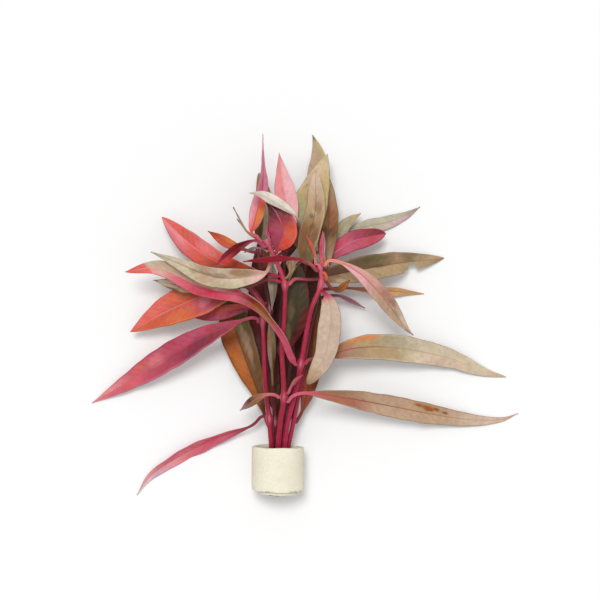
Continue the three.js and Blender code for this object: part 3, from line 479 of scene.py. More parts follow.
MIDDLE_LEAVES = [
    dict(
        name="leaf_crimson_edge", stem="stem_right", at=88.9, half=3.6, stalk_half=1.1,
        roll=[-50, -66, -70, -70], fold=14,
        path=[[16.2, 91.5, 38.6], [11, 94, 42.8], [3.9, 94.7, 46], [-3.2, 94.2, 46.5],
              [-10.4, 93.5, 46], [-16.1, 92.6, 44]],
        left="raspberry cherry scarlet carmine carmine carmine deep",
        right="magenta rose scarlet carmine carmine carmine deep", rib="rose cherry carmine",
        under="carmine", margin="scarlet cherry",
    ),
    dict(
        name="leaf_green_edge", stem="stem_middle", at=92.5, half=2.6, widest=0.4, stalk=0.1,
        roll=[20, 30, 40],
        path=[[-2.4, 91.6, 32.6], [-2, 86, 30.2], [-1.9, 80, 28], [-2.2, 75, 26.6],
              [-2.8, 69.5, 25.5]],
        left="sage grey olive grey", right="sage sage grey grey", rib="grey", under="sage",
        patches=[("moss", 0.45, 0, 0.06, 1, 0.7)],
    ),
    dict(
        name="leaf_small_tan", stem="stem_middle", at=84.5, half=1.9, stalk=0.2,
        path=[[6, 86.6, 36], [7, 90, 35.6], [6.6, 95, 34.4]],
        left="fawn fawn brown", right="drab fawn fawn", rib="brown", under="tan",
    ),
    dict(
        name="leaf_tip_orange", stem="stem_right", at=92, half=0.75, stalk_half=0.6, fold=14,
        path=[[18, 96.8, 38], [16.2, 101.2, 38.6], [13.9, 105.6, 38]],
        left="salmon vermilion vermilion", right="peach vermilion vermilion", rib="vermilion",
        under="salmon",
    ),
    dict(
        name="leaf_tip_red", stem="stem_right", at=92, half=0.8, stalk_half=0.6, fold=14,
        path=[[21, 96.4, 37.6], [21.2, 101.4, 38], [22, 107.6, 36.8]],
        left="coral cherry raspberry", right="coral cherry rose", rib="cherry", under="salmon",
    ),
    dict(
        name="leaf_tip_lilac", stem="stem_right", at=91.5, half=0.8, stalk_half=0.5, fold=20,
        path=[[22.2, 96, 33.8], [22.4, 100.5, 32.6], [22.4, 107.2, 30.5]],
        left="pink lilac lilac", right="pink lilac grey", rib="raspberry", under="lilac",
    ),
    dict(
        name="leaf_tip_low", stem="stem_right", at=87.5, half=1, fold=20,
        path=[[23.2, 86.8, 36], [23.8, 83.6, 36.5]],
        left="coral clay ochre", right="rose ochre ochre", rib="coral", under="orange",
    ),
    dict(
        name="leaf_tip_pink", stem="stem_middle", at=103.4, half=1.3, fold=20,
        path=[[-4.4, 106.4, 40.6], [-3.4, 110.8, 40.4]],
        left="pink rose raspberry", rib="crimson", under="pink",
    ),
    dict(
        name="leaf_tip_rose", stem="stem_middle", at=100.6, half=1.2, fold=20,
        path=[[-0.9, 103.4, 38.2], [0, 107.4, 38]],
        left="pink raspberry pink", right="rose raspberry maroon", rib="crimson", under="pink",
    ),
    dict(
        name="leaf_back_dark_green", stem="stem_back", at=47, half=6.4, full=0.75, stalk=0.1,
        fold=6,
        path=[[6.3, 52, 20.5], [9.1, 67.2, 24.2], [10, 79.4, 26], [11, 91.5, 26.8]],
        left="maroon forest forest forest forest", right="maroon wine forest forest forest",
        rib="wine forest forest", under="grey",
        # The two olive patches are a painted sheen
        patches=[("olive", 0.5, 0.5, 0.12, 0.3, 0.4), ("olive", 0.28, 0.6, 0.1, 0.3, 0.6),
                 ("oxblood", 0.4, -0.7, 0.18, 0.35, 0.7), ("oxblood", 0.75, -0.9, 0.12, 0.25, 0.5)],
    ),
    dict(
        name="leaf_back_right_green", stem="stem_right_thin", at=14, half=5.6, full=0.8, stalk=0.08,
        fold=8,
        path=[[11.8, 19, 9.5], [14.3, 27.5, 9.8], [16.3, 39.8, 10.5], [17.3, 54.6, 11],
              [18.6, 67.1, 11.5], [20.6, 79, 11]],
        left="oxblood brick brick umber umber umber forest",
        right="oxblood brick rust rust rust bark bark", rib="maroon umber umber", under="sage",
        margin="umber rust",
    ),
    dict(
        name="leaf_pale_hanging", stem="stem_right", at=79.3, half=5.8, widest=0.4, full=0.5,
        stalk=0.05, stalk_half=1.3, roll=[150, 175, 180],
        path=[[24.3, 75.5, 34.5], [25.7, 67.3, 34.5], [25, 57.6, 32], [23.1, 47.8, 28.8],
              [18.6, 39.4, 25.5], [14.6, 33.4, 23]],
        left="crimson rose dusk fawn tan", rib="shell shell shell tan",
        under="rose shell shell shell shell shell shell tan fawn", margin="linen linen",
    ),
]

RIGHT_LEAVES = [
    dict(
        name="leaf_right_short", stem="stem_right_thin", at=84, half=3.2, widest=0.55, stalk=0.25,
        path=[[25.5, 92, 14], [28.5, 102, 11], [33.3, 111.6, 9], [41.3, 117.6, 6]],
        left="maroon sage sage sage straw", right="maroon tan sage sage straw", rib="tan",
        under="sand",
    ),
    dict(
        name="leaf_right_grey_green", stem="stem_under", at=83, half=3.5, widest=0.6, stalk=0.25,
        fold=8,
        path=[[10, 92, 7.5], [21, 99, 5.5], [31, 104.2, 4], [42, 110.3, 2.5], [53.4, 112.9, 1.2],
              [63.3, 116.4, 0.3], [71, 121, 0]],
        left="maroon maroon sage mist mist mist mist grey",
        right="maroon maroon sage mist mist mist lilac grey", rib="sage sage tan", under="sage",
        margin="mist mist",
    ),
    dict(
        name="leaf_right_crimson", stem="stem_right_thin", at=87.5, half=5, widest=0.55, full=0.6,
        stalk=0.12,
        path=[[26.5, 96, 16.8], [35.6, 102.8, 15], [43, 105, 14], [49.4, 106.5, 12.5],
              [53.4, 107.3, 10.5]],
        left="crimson raspberry cherry raspberry magenta maroon maroon",
        right="crimson magenta raspberry raspberry raspberry raspberry rose",
        rib="rose pink pink rose raspberry", under="pink", margin="magenta magenta",
        patches=[("cherry", 0.35, 0.6, 0.1, 0.4, 0.5), ("rose", 0.5, -0.6, 0.15, 0.3, 0.4),
                 ("rose", 0.45, 0.2, 0.12, 0.2, 0.6)],
    ),
    dict(
        name="leaf_right_olive", stem="stem_middle", at=81.6, half=6.4, widest=0.4, full=0.7,
        stalk=0.2, fold=8,
        path=[[8.6, 84.6, 31], [14.9, 84.4, 28.5], [20, 84.9, 26.5], [30.5, 87.5, 23],
              [45.3, 90.3, 17], [60.4, 92.8, 9.5], [74.7, 94.4, 3], [83, 95.5, 0]],
        left="rose maroon oxblood drab drab drab olive fawn olive khaki khaki",
        right="rose maroon drab fawn khaki khaki khaki khaki khaki khaki brown",
        rib="rose maroon wine umber drab olive khaki", under="sage", margin="fawn khaki",
        patches=[("umber", 0.3, 0.2, 0.04, 0.6, 0.4), ("umber", 0.37, 0.3, 0.03, 0.5, 0.4),
                 ("moss", 0.55, 0.7, 0.12, 0.3, 0.5), ("sand", 0.34, -0.8, 0.06, 0.2, 0.6),
                 ("umber", 0.56, 0.05, 0.08, 0.12, 0.5), ("tan", 0.85, 0.3, 0.06, 0.5, 0.4)],
        bites=[(-1, 0.79, 0.035, 0.72), (-1, 0.745, 0.012, 0.25)],
    ),
    dict(
        name="leaf_right_orange", stem="stem_right_thin", at=80, half=2.5, widest=0.6,
        roll=[0, 30, 30],
        path=[[33.2, 80.4, 13.5], [46.7, 79.5, 8], [60.8, 78.5, 3], [73, 77.5, 0]],
        left="maroon brick clay dusk dusk apricot apricot khaki",
        right="maroon brick clay dusk peach apricot apricot khaki", rib="maroon clay apricot",
        under="apricot", margin="apricot peach",
    ),
    dict(
        name="leaf_right_pink", stem="stem_right", at=91, half=4.2, stalk=0.1, fold=16,
        path=[[25.6, 93.4, 37.5], [32.6, 91.5, 38], [42.2, 85.1, 35.5], [52.2, 74.5, 28],
              [62.5, 61.3, 18.5], [66.7, 57.2, 15]],
        left="peach peach blush blush blush dusk tan shell shell mist",
        right="peach peach petal petal blush tan tan tan tan grey",
        rib="peach coral rose rose dusk brown fawn grey", under="blush", margin="tan blush",
        patches=[("maroon", 0.66, 0.5, 0.05, 0.3, 0.4), ("brown", 0.76, 0.1, 0.05, 0.3, 0.3)],
    ),
    dict(
        name="leaf_right_purple", stem="stem_right_thin", at=75.5, half=1.2, stalk=0.3,
        path=[[24, 76.3, 15], [30, 76.6, 10], [35.8, 74.3, 7], [43.4, 70.4, 4]],
        left="wine plum mauve mauve lilac", rib="plum", under="pink",
    ),
    dict(
        name="leaf_right_ochre", stem="stem_right", at=83.3, half=1.8, widest=0.55, stalk=0.2,
        fold=18,
        path=[[26.5, 80, 31.2], [30, 79.6, 29.8], [35.2, 84.2, 28.5]],
        left="crimson rust bark ochre ochre", right="crimson maroon bark ochre clay", rib="bark",
        under="ochre",
    ),
    dict(
        name="leaf_lower_right", stem="stem_right", at=43.5, half=6.6, widest=0.36, full=0.8,
        stalk=0.12, fold=8,
        path=[[15.6, 45.5, 24.5], [24, 47, 22.3], [36, 50.6, 19.5], [50, 51.5, 15.5],
              [66, 49.8, 10.5], [86, 45.3, 4.5], [103, 38.5, 0.8], [114, 36, 0]],
        left="raspberry brick khaki khaki sage linen linen linen linen tan",
        right="raspberry brick fawn khaki khaki linen shell shell linen tan",
        rib="crimson brick brown khaki tan shell shell", under="sage", margin="linen linen",
        patches=[("orange", 0.28, 0.8, 0.08, 0.28, 0.7), ("ochre", 0.2, 0.5, 0.05, 0.4, 0.4),
                 ("rose", 0.22, 0.1, 0.03, 0.2, 0.4), ("tan", 0.45, 0.2, 0.06, 0.3, 0.3)],
    ),
    dict(
        name="leaf_bottom_right", stem="stem_middle", at=25.4, half=5.4, widest=0.45, stalk=0.08,
        fold=8,
        path=[[7.1, 27.6, 27.3], [11, 29.2, 27.6], [17.3, 29.1, 26], [35.5, 26.3, 19.5],
              [55.3, 22.3, 13], [75.5, 18, 7], [95.8, 14.7, 1.8], [111, 14.6, 0.2], [120, 17.8, 0]],
        left="rose rose clay fawn tan tan khaki tan shell shell blush",
        right="rose rose clay clay tan tan tan tan shell shell blush",
        rib="rose raspberry maroon brick clay tan tan", under="tan", margin="fawn tan",
        patches=[("rust", 0.61, 0.5, 0.024, 0.28, 0.95), ("rust", 0.65, 0.6, 0.016, 0.16, 0.95),
                 ("rust", 0.688, 0.42, 0.014, 0.16, 0.9), ("rust", 0.57, 0.62, 0.016, 0.16, 0.9),
                 ("ochre", 0.6, 0.6, 0.06, 0.3, 0.6), ("olive", 0.2, 0.6, 0.08, 0.4, 0.5),
                 ("umber", 0.63, 0.38, 0.006, 0.08, 0.8), ("umber", 0.69, 0.5, 0.005, 0.08, 0.8)],
    ),
]

UNDER_LEAVES = [
    dict(
        name="leaf_under_top", stem="stem_under", at=85, half=5, fold=6,
        path=[[3.6, 95, 6], [7, 106, 3], [10, 117, 1], [12, 127, 0]],
        left="maroon forest olive", rib="brown", under="sage",
    ),
    dict(
        name="leaf_under_middle", stem="stem_under", at=50, half=7.5, widest=0.55, full=0.7, fold=6,
        path=[[6.8, 56, 6.5], [11.8, 68, 4], [14.5, 82, 2.4], [15.5, 97, 0.6]],
        left="oxblood wine umber", rib="deep", under="blush",
    ),
    # Its wine, oxblood and umber are partly its own dark red and partly painted shade between the
    # stems
    dict(
        name="leaf_under_left", stem="stem_under", at=10, half=7, widest=0.45, full=0.6, stalk=0.1,
        fold=6,
        path=[[-0.6, 17, 6.3], [-3.2, 30, 5.3], [-5.8, 46, 4.4], [-8, 64, 3], [-8.5, 80, 2.3],
              [-8, 96, 1.6], [-6.5, 110, 0]],
        left="oxblood umber wine oxblood wine oxblood",
        right="oxblood umber wine wine wine umber umber", rib="deep", under="salmon",
        patches=[("ochre", 0.86, -0.3, 0.06, 0.8, 0.8)],
    ),
    # Its wine, oxblood and umber are partly its own dark red and partly painted shade between the
    # stems
    dict(
        name="leaf_under_stems", stem="stem_under", at=4.6, half=8, widest=0.45, full=0.6,
        stalk=0.06, fold=6,
        path=[[2, 8, 5.6], [3, 17, 3.8], [3.8, 30, 2], [5, 44, 0.8], [5, 60, 0.3], [3.5, 78, 0.2],
              [2.5, 94, 0]],
        left="oxblood umber wine wine", right="oxblood wine umber umber", rib="deep",
        under="salmon",
    ),
]


def linear(code):
    """A 0xRRGGBB screen colour as linear red, green and blue, by the screen's standard curve."""
    value = np.array([(code >> shift & 255) / 255 for shift in (16, 8, 0)])
    return np.where(value <= 0.04045, value / 12.92, ((value + 0.055) / 1.055) ** 2.4)


def tone(word):
    """A palette colour as a surface has to have it to look so under the stage's light."""
    return np.maximum(linear(PALETTE[word]) - GLOSS_LEVEL, DARKEST_LEVEL) / LIGHT_LEVEL


def colours(words, part):
    """Colours named from stalk to tip, blended evenly along part, which runs from 0 to 1."""
    stops = np.array([tone(word) for word in words.split()])
    if len(stops) == 1:
        stops = np.repeat(stops, 2, axis=0)
    places = np.linspace(0, 1, len(stops))
    return np.stack([np.interp(part, places, stops[:, band]) for band in range(3)], axis=-1)


def lay(paint, colour, weight):
    """Moves colours towards another: paint + (colour - paint) * weight."""
    return paint + (colour - paint) * weight[..., None]


def step(low, high, value):
    """0 below low, 1 above high, and 3x^2 - 2x^3 between them."""
    x = np.clip((value - low) / (high - low), 0, 1)
    return x * x * (3 - 2 * x)


def unit(vectors):
    """Vectors over their lengths."""
    return vectors / np.linalg.norm(vectors, axis=-1, keepdims=True)


def smooth_path(points, count):
    """A curve through the points, read at count places evenly along its length.

    Each stretch is the cubic whose slope at a point is half the step between its neighbours, with
    the first and last step repeated past the ends. Its directions and length come with it.
    """
    points = np.array(points, float)
    knots = np.vstack([2 * points[0] - points[1], points, 2 * points[-1] - points[-2]])
    place = np.linspace(0, len(points) - 1, STRETCH_STEPS * (len(points) - 1) + 1)
    stretch = np.minimum(place.astype(int), len(points) - 2)
    x = (place - stretch)[:, None]
    before, start, end, after = (knots[stretch + shift] for shift in range(4))
    slope_in, slope_out = (end - before) / 2, (after - start) / 2
    curve = (
        start + slope_in * x
        + (3 * (end - start) - 2 * slope_in - slope_out) * x**2
        + (2 * (start - end) + slope_in + slope_out) * x**3
    )
    lengths = np.append(0, np.cumsum(np.linalg.norm(np.diff(curve, axis=0), axis=1)))
    even = np.linspace(0, lengths[-1], count)
    line = np.stack([np.interp(even, lengths, curve[:, axis]) for axis in range(3)], axis=1)
    return line, unit(np.gradient(line, axis=0)), lengths[-1]


def cross_frame(tangent, roll):
    """The sideways and upward directions across a path, turned about it by roll radians."""
    side = unit(np.cross(UP, tangent))
    face = np.cross(tangent, side)
    side = side * np.cos(roll)[:, None] + face * np.sin(roll)[:, None]
    return side, np.cross(tangent, side)


def foam_spiral(part):
    """Centre angle and inner radius of the rolled strip: the radius grows evenly with the turn."""
    angle = -np.pi / 2 - (1 - part) * FOAM_TURNS * 2 * np.pi
    return angle, FOAM_BORE_RADIUS + FOAM_PITCH * FOAM_TURNS * part


def bunch_origin():
    """Where the bunch's own frame stands in the solid model's, found from the foam's box."""
    low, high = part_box("foam_collar")
    angle, inner = foam_spiral(np.linspace(0, 1, FOAM_SOLID_SEGMENTS + 1))
    left = (FOAM_AXIS[0] + (inner + FOAM_THICKNESS) * np.cos(angle)).min()
    return np.array([low.x / MM - left, high.y / MM - FOAM_MOUTH_Y, 0.0])


ORIGIN = bunch_origin()


def closed_tube(name, rings):
    """A closed mesh object through rings of equal point counts, given as an array of rings.

    Quads join each ring to the next, and one many-sided face closes each end.
    """
    count, sides = rings.shape[:2]
    index = np.arange(count * sides).reshape(count, sides)
    turned = np.roll(index, -1, axis=1)
    quads = np.stack([index[:-1], turned[:-1], turned[1:], index[1:]], axis=-1)
    faces = quads.reshape(-1, 4).tolist() + [index[0, ::-1].tolist(), index[-1].tolist()]
    mesh = bpy.data.meshes.new(name)
    mesh.from_pydata(((rings + ORIGIN) * MM).reshape(-1, 3), [], faces)
    mesh.polygons.foreach_set("use_smooth", np.ones(len(faces), bool))
    piece = bpy.data.objects.new(name, mesh)
    bpy.context.scene.collection.objects.link(piece)
    return piece


def set_colour(piece, name, rgb):
    """Stores linear colours on the piece's points, with full alpha."""
    attribute = piece.data.attributes.new(name, "FLOAT_COLOR", "POINT")
    rgba = np.concatenate([rgb, np.ones(rgb.shape[:-1] + (1,))], axis=-1)
    attribute.data.foreach_set("color", rgba.astype(np.float32).ravel())


def set_map(piece, name, across, along):
    """Stores a place across and along the surface on every corner of the mesh."""
    layer = piece.data.uv_layers.new(name=name)
    corners = np.zeros(len(piece.data.loops), np.int32)
    piece.data.loops.foreach_get("vertex_index", corners)
    places = np.stack([across.ravel(), along.ravel()], axis=-1)[corners]
    layer.data.foreach_set("uv", places.astype(np.float32).ravel())


def finish_piece(piece, node, material):
    """Lets the piece stand for its solid node, with that node's finish."""
    piece.data.materials.append(material)
    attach(piece, "root")
    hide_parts(node)


def stem_line(stem, count):
    """The stem's path with a straight run down to its cut end."""
    x, _, z = stem["path"][0]
    return smooth_path([[x, STEM_CUT_Y, z], *stem["path"]], count)


def joint_bells(stem, y, reach):
    """1 at each of the stem's joints, and exp(-(distance / reach)^2) along Y around them."""
    return np.max([np.exp(-(((y - joint) / reach) ** 2)) for joint in stem["joints"]], axis=0)


def stem_radius(stem, y):
    """The stem's radius, thinning evenly to its top, with a bell-shaped swelling at each joint."""
    taper = 1 - STEM_TAPER * np.clip(y / stem["path"][-1][1], 0, 1)
    return taper * (stem["radius"] + NODE_SWELLING * joint_bells(stem, y, NODE_REACH))


def stem_colours(stem, y, turn):
    """Skin colours from foam to top, joints paler in part as painted highlight, and a paler cut."""
    part = np.clip((y - FOAM_MOUTH_Y) / (y[-1] - FOAM_MOUTH_Y), 0, 1)
    skin = np.repeat(colours(stem["skin"], part)[:, None], len(turn), axis=1)
    # Five lobes around the stem, one facing up: the joints' own paler skin and a painted highlight
    # on top
    pale_and_highlight_lobes = 0.5 + 0.5 * np.sin(STEM_RIDGES * turn)
    skin = lay(skin, tone("pink"), 0.6 * joint_bells(stem, y, NODE_PALE_AND_HIGHLIGHT_REACH)[:, None] * pale_and_highlight_lobes)
    cut = step(STEM_CUT_Y + CUT_PALE_REACH, STEM_CUT_Y, y)[:, None]
    return lay(skin, tone("blush"), 0.5 * cut)


def stem_skin(name, stem, settings):
    """A stem: rings along its path whose radius carries shallow ridges.

    The radius is the stem's own times 1 + depth * cos(ridges * turn) and a slow small sine.
    """
    line, tangent, length = stem_line(stem, STEM_ROWS)
    side, face = cross_frame(tangent, np.zeros(len(line)))
    turn = np.linspace(0, 2 * np.pi, STEM_SIDES, endpoint=False)
    along = np.linspace(0, length, len(line))[:, None]
    ridges = settings.ridge_depth * np.cos(STEM_RIDGES * turn + 0.02 * along)
    uneven = 0.02 * np.sin(0.9 * along + 2 * turn)
    radius = stem_radius(stem, line[:, 1])[:, None] * (1 + ridges + uneven)
    rings = line[:, None] + side[:, None] * (radius * np.cos(turn))[..., None]
    rings = rings + face[:, None] * (radius * np.sin(turn))[..., None]
    piece = closed_tube(name + "_skin", rings)
    set_colour(piece, "skin", stem_colours(stem, line[:, 1], turn))
    around = np.broadcast_to(turn / (2 * np.pi), rings.shape[:2])
    set_map(piece, "streaks", around, np.broadcast_to(along, rings.shape[:2]))
    return piece


def leaf_spine(leaf, rows):
    """The midrib from just inside the stem's skin to the tip, with the part of the way at each row.

    It starts clear of the skin on the side that it leaves from, stood off further where it leaves
    along the stem, and two more rows carry the stalk into the stem.
    """
    stem = STEMS[leaf["stem"]]
    line, tangents, _ = stem_line(stem, STEM_FINE_ROWS)
    joint = int(np.searchsorted(line[:, 1], leaf["at"]))
    centre, tangent = line[joint], tangents[joint]
    away = unit(np.array(leaf["path"][0], float) - centre)
    slant = abs(away @ tangent)
    away = unit(away - (away @ tangent) * tangent)
    radius = float(stem_radius(stem, centre[1]))
    start = centre + away * (radius + ATTACHMENT_GAP + STALK_HALF_WIDTH * slant**2)
    spine, direction, length = smooth_path([start, *leaf["path"]], rows)
    root = centre + away * 0.5 * radius
    inner = root + (start - root) * np.array([[0.0], [0.5]])
    spine = np.vstack([inner, spine])
    direction = np.vstack([direction[:1], direction[:1], direction])
    return spine, direction, np.concatenate([[0, 0], np.linspace(0, 1, rows)]), length


def half_width(leaf, part):
    """Half the blade's width: a sine hump over the blade, never thinner than the tapering stalk."""
    blade = np.maximum(0, (part - leaf["stalk"]) / (1 - leaf["stalk"]))
    power = math.log(0.5) / math.log(leaf["widest"])
    hump = leaf["half"] * np.maximum(np.sin(np.pi * blade**power), 0) ** leaf["full"]
    base = STALK_HALF_WIDTH + (leaf["stalk_half"] - STALK_HALF_WIDTH) * step(0, 0.04, part)
    stalk = TIP_HALF_WIDTH + (base - TIP_HALF_WIDTH) * (1 - blade)
    return np.maximum(hump, stalk) + 0.02


def ripple(along, across, phase):
    """A sum of three sines, which roughens the edge of a patch of colour."""
    slow = 0.5 * np.sin(23 * along + 5 * across + phase)
    middle = 0.3 * np.sin(51 * along - 9 * across + 2 * phase)
    return slow + middle + 0.2 * np.sin(97 * along + 17 * across + 3 * phase)


def upper_colours(leaf, part, across, phase):
    """The blade's colours: both halves, then the margins, patches and tip laid over them."""
    rough = ripple(part, across, phase)
    part_rough = np.clip(part + 0.012 * rough, 0, 1)
    blend = step(-0.14, 0.14, across)[..., None]
    paint = colours(leaf["right"], part_rough) * (1 - blend)
    paint = paint + colours(leaf["left"], part_rough) * blend
    on_blade = step(leaf["stalk"], leaf["stalk"] + 0.1, part)
    for word, way in zip(leaf["margin"].split(), (1, -1)):
        paint = lay(paint, tone(word), 0.75 * step(0.8, 0.97, way * across) * on_blade)
    for word, place, over, reach, spread, strength in leaf["patches"]:
        far = ((part + 0.01 * rough - place) / reach) ** 2
        far = far + ((across + 0.12 * rough - over) / spread) ** 2
        paint = lay(paint, tone(word), strength * step(1.6, 0.25, far))
    if leaf["tip"]:
        word, place, tilt = leaf["tip"]
        weight = step(-0.006, 0.006, part + tilt * across - place + 0.002 * rough)
        paint = lay(paint, tone(word), weight)
    return paint


def blade_width(leaf, part, across, way, blade, phase):
    """Half the width with two sines along it, and each point's distance from the midrib.

    A bite takes its depth off the width of its side over its reach, with eased ends.
    """
    uneven = np.sin(way / 3.1 + phase[0]) + np.sin(way / 1.7 + phase[1])
    half = half_width(leaf, part) * (1 + 0.015 * blade * uneven)
    edge = np.ones((len(part), across.shape[1]))
    for side, place, reach, depth in leaf["bites"]:
        notch = depth * step(1, 0.5, np.abs(part - place) / reach)
        edge = edge * (1 - notch * (np.sign(across) == side))
    return half, across * half * edge


def blade_rise(settings, fold, across, way, blade, half, wide, phase):
    """How far the sheet stands over the midrib.

    Both halves rise by the fold's sine, the margins wave with two sines along the leaf, and the
    surface puckers by a cosine between the leaning side veins.
    """
    rise = np.abs(wide) * np.sin(fold) * (0.75 + 0.25 * np.abs(across))
    wave = np.sin(way / 2.3 + phase[2] + across * 0.6 + np.sign(across) * phase[3])
    slow_wave = np.sin(way / 5.3 + phase[1] + np.sign(across) * phase[0])
    size = settings.wave_height * blade * np.minimum(1, half / 4)
    rise = rise + size * across**2 * (0.35 * wave + 0.65 * slow_wave)
    pucker = np.cos(2 * np.pi * (way - VEIN_LEAN * np.abs(wide)) / VEIN_SPACING)
    return rise + PUCKER_HEIGHT * blade * pucker * np.abs(across) * (1 - np.abs(across)) * 4


def blade_faces(sheet, thickness, near_rib):
    """The upper and lower faces, half the thickness either side of the sheet along its normals.

    The sheet eases flat where it nears the surface that the bunch lies on. A groove runs over the
    midrib and a ridge under it.
    """
    clearance = thickness / 2 + REST_CLEARANCE
    over = sheet[..., 2] - clearance
    sheet[..., 2] = clearance + (over + np.sqrt(over**2 + REST_EASE)) / 2
    normal = np.cross(np.gradient(sheet, axis=0), np.gradient(sheet, axis=1))
    normal[:2] = normal[2]
    normal = unit(normal)
    upper = sheet + normal * (thickness / 2 - RIB_GROOVE * near_rib)[..., None]
    lower = sheet - normal * (thickness / 2 + RIB_RIDGE * near_rib)[..., None]
    lower[..., 2] = np.maximum(lower[..., 2], LOWEST)
    return upper, lower


def over_and_under(upper, lower):
    """Rows of values over the upper face and back under the lower one, as rings."""
    return np.concatenate([upper[:, ::-1], lower[:, 1:-1]], axis=1)


def paint_blade(piece, leaf, part, across, stalk, phase):
    """Stores the blade's and the midrib's colours of the upper and lower face."""
    paint = upper_colours(leaf, part, across, phase[0])
    under = colours(leaf["under"], np.clip(part + 0.01 * ripple(part, across, phase[1]), 0, 1))
    under = lay(under, colours(leaf["left"], part), stalk)
    set_colour(piece, "blade", over_and_under(paint, under))
    set_colour(piece, "rib", over_and_under(colours(leaf["rib"], part), under * UNDER_RIB_SHADE))


def leaf_blade(leaf, seed, settings):
    """A leaf: a thin closed surface around a middle sheet.

    The sheet runs across the midrib by across * half width, with across from -1 to 1, and stands
    over it by the rise. The thickness is a half ellipse across the blade, and thicker in the stalk.
    """
    phase = np.random.default_rng(seed).uniform(0, 2 * np.pi, 4)
    rows = int(np.clip(smooth_path(leaf["path"], 2)[2] * ROWS_PER_MM, LEAST_ROWS, MOST_ROWS))
    columns = BROAD_COLUMNS if leaf["half"] > BROAD_LEAF else NARROW_COLUMNS
    spine, direction, part, length = leaf_spine(leaf, rows)
    roll = np.radians(np.interp(part, np.linspace(0, 1, len(leaf["roll"])), leaf["roll"]))
    side, face = cross_frame(direction, roll)
    across = np.linspace(-1, 1, columns)[None]
    part = part[:, None]
    way = length * part
    blade = step(leaf["stalk"], leaf["stalk"] + 0.12, part)
    half, wide = blade_width(leaf, part, across, way, blade, phase)
    fold = np.radians(leaf["fold"]) * np.sin(np.pi * part)
    rise = blade_rise(settings, fold, across, way, blade, half, wide, phase)
    sheet = spine[:, None] + side[:, None] * (wide * np.cos(fold))[..., None]
    sheet = sheet + face[:, None] * rise[..., None]

    stalk = 1 - step(leaf["stalk"] * 0.6, leaf["stalk"] + 0.1, part)
    thick = settings.thickness * (1 - stalk)
    thick = thick + STALK_ROUNDNESS * np.minimum(half, STALK_HALF_WIDTH) * stalk
    thick = thick * np.sqrt(np.maximum(1 - across**2, 0)) + EDGE_THICKNESS
    near_rib = np.exp(-((wide / RIB_HALF_WIDTH) ** 2)) * blade * (1 - 0.7 * part)
    upper, lower = blade_faces(sheet, thick, near_rib)
    piece = closed_tube(leaf["name"] + "_blade", over_and_under(upper, lower))

    flat = np.broadcast_to(across, wide.shape)
    long = np.broadcast_to(part, wide.shape)
    paint_blade(piece, leaf, long, flat, stalk, phase)
    taper = wide / (1 - 0.6 * long)
    along = length * long
    set_map(piece, "veins", over_and_under(taper, taper), over_and_under(along, along))
    return piece


def foam_strip(settings):
    """The rolled strip: a rounded rectangle carried along a spiral around the stem ends.

    The rectangle's corners are eased by raising its sides to a power. The inner turns stand out at
    the cut end, the roll is pressed flat where it lies on the surface, and slow sines dent it.
    """
    part = np.linspace(0, 1, FOAM_ROWS)[:, None]
    angle, inner = foam_spiral(part)
    turn = np.linspace(0, 2 * np.pi, FOAM_SIDES, endpoint=False)[None] + np.pi / 4
    corner = np.sign(np.cos(turn)) * np.abs(np.cos(turn)) ** FOAM_FACE_POWER
    height = np.sign(np.sin(turn)) * np.abs(np.sin(turn)) ** FOAM_END_POWER
    dents = 0.1 * np.sin(3 * angle + 1) + 0.07 * np.sin(7 * angle + 2.4 * height)
    radius = inner + FOAM_THICKNESS * (0.5 + 0.5 * corner) + dents * settings.softness
    low = FOAM_MOUTH_Y - FOAM_LENGTH - FOAM_TELESCOPE * (1 - part)
    high = FOAM_MOUTH_Y - FOAM_RECESS * (1 - part)
    bulge = 0.25 * settings.softness * (1 - corner**2) * np.sign(height)
    y = (low + high) / 2 + (high - low) / 2 * height + bulge
    y = y + 0.12 * settings.softness * np.sin(5 * angle + 0.7) * np.sign(height)
    x = FOAM_AXIS[0] + radius * np.cos(angle)
    z = FOAM_AXIS[1] + radius * np.sin(angle)
    floor = FOAM_PRESSED_THICKNESS * (0.5 - 0.5 * corner)
    z = floor + (z - floor + np.sqrt((z - floor) ** 2 + FOAM_PRESS_EASE)) / 2
    piece = closed_tube("foam_collar_roll", np.stack([x, y, z], axis=-1))
    # Stores the painted shade for the cut end's rim and inner edge
    set_colour(piece, "painted_rim_shade", np.repeat(foam_painted_rim_shade(part, x, y, z)[..., None], 3, axis=-1))
    return piece


def foam_painted_rim_shade(part, x, y, z):
    """Painted shade: the upper rim of the cut end, broken by sines, and the inner edge."""
    rim = step(PAINTED_RIM_SHADE_REACH, PAINTED_RIM_SHADE_REACH / 3, y - y.min(axis=1, keepdims=True)) * step(8, 10, z)
    broken = step(0, 0.8, np.sin(0.45 * x + 3.6) + 0.4 * np.sin(1.3 * x))
    return rim * np.maximum(0.7 * broken * step(0.5, 0.55, part), 0.6 * step(0.2, 0.05, part))


def add_node(tree, kind, inputs, **settings):
    """Adds a node, sets its settings, and links or sets its inputs."""
    made = tree.nodes.new(kind)
    for name, value in settings.items():
        setattr(made, name, value)
    for name, value in inputs.items():
        feed(tree, made.inputs[name], value)
    return made


def feed(tree, socket, value):
    """Links a socket to another, or gives it a value, a plain colour with full alpha."""
    if isinstance(value, bpy.types.NodeSocket):
        tree.links.new(value, socket)
    elif socket.type == "RGBA":
        socket.default_value = (*value, 1.0)
    else:
        socket.default_value = value


def calc(tree, operation, *values):
    """One step of arithmetic on numbers or sockets."""
    return add_node(tree, "ShaderNodeMath", dict(enumerate(values)), operation=operation).outputs[0]


def times(tree, value, factor):
    """The product of two numbers or sockets."""
    return calc(tree, "MULTIPLY", value, factor)


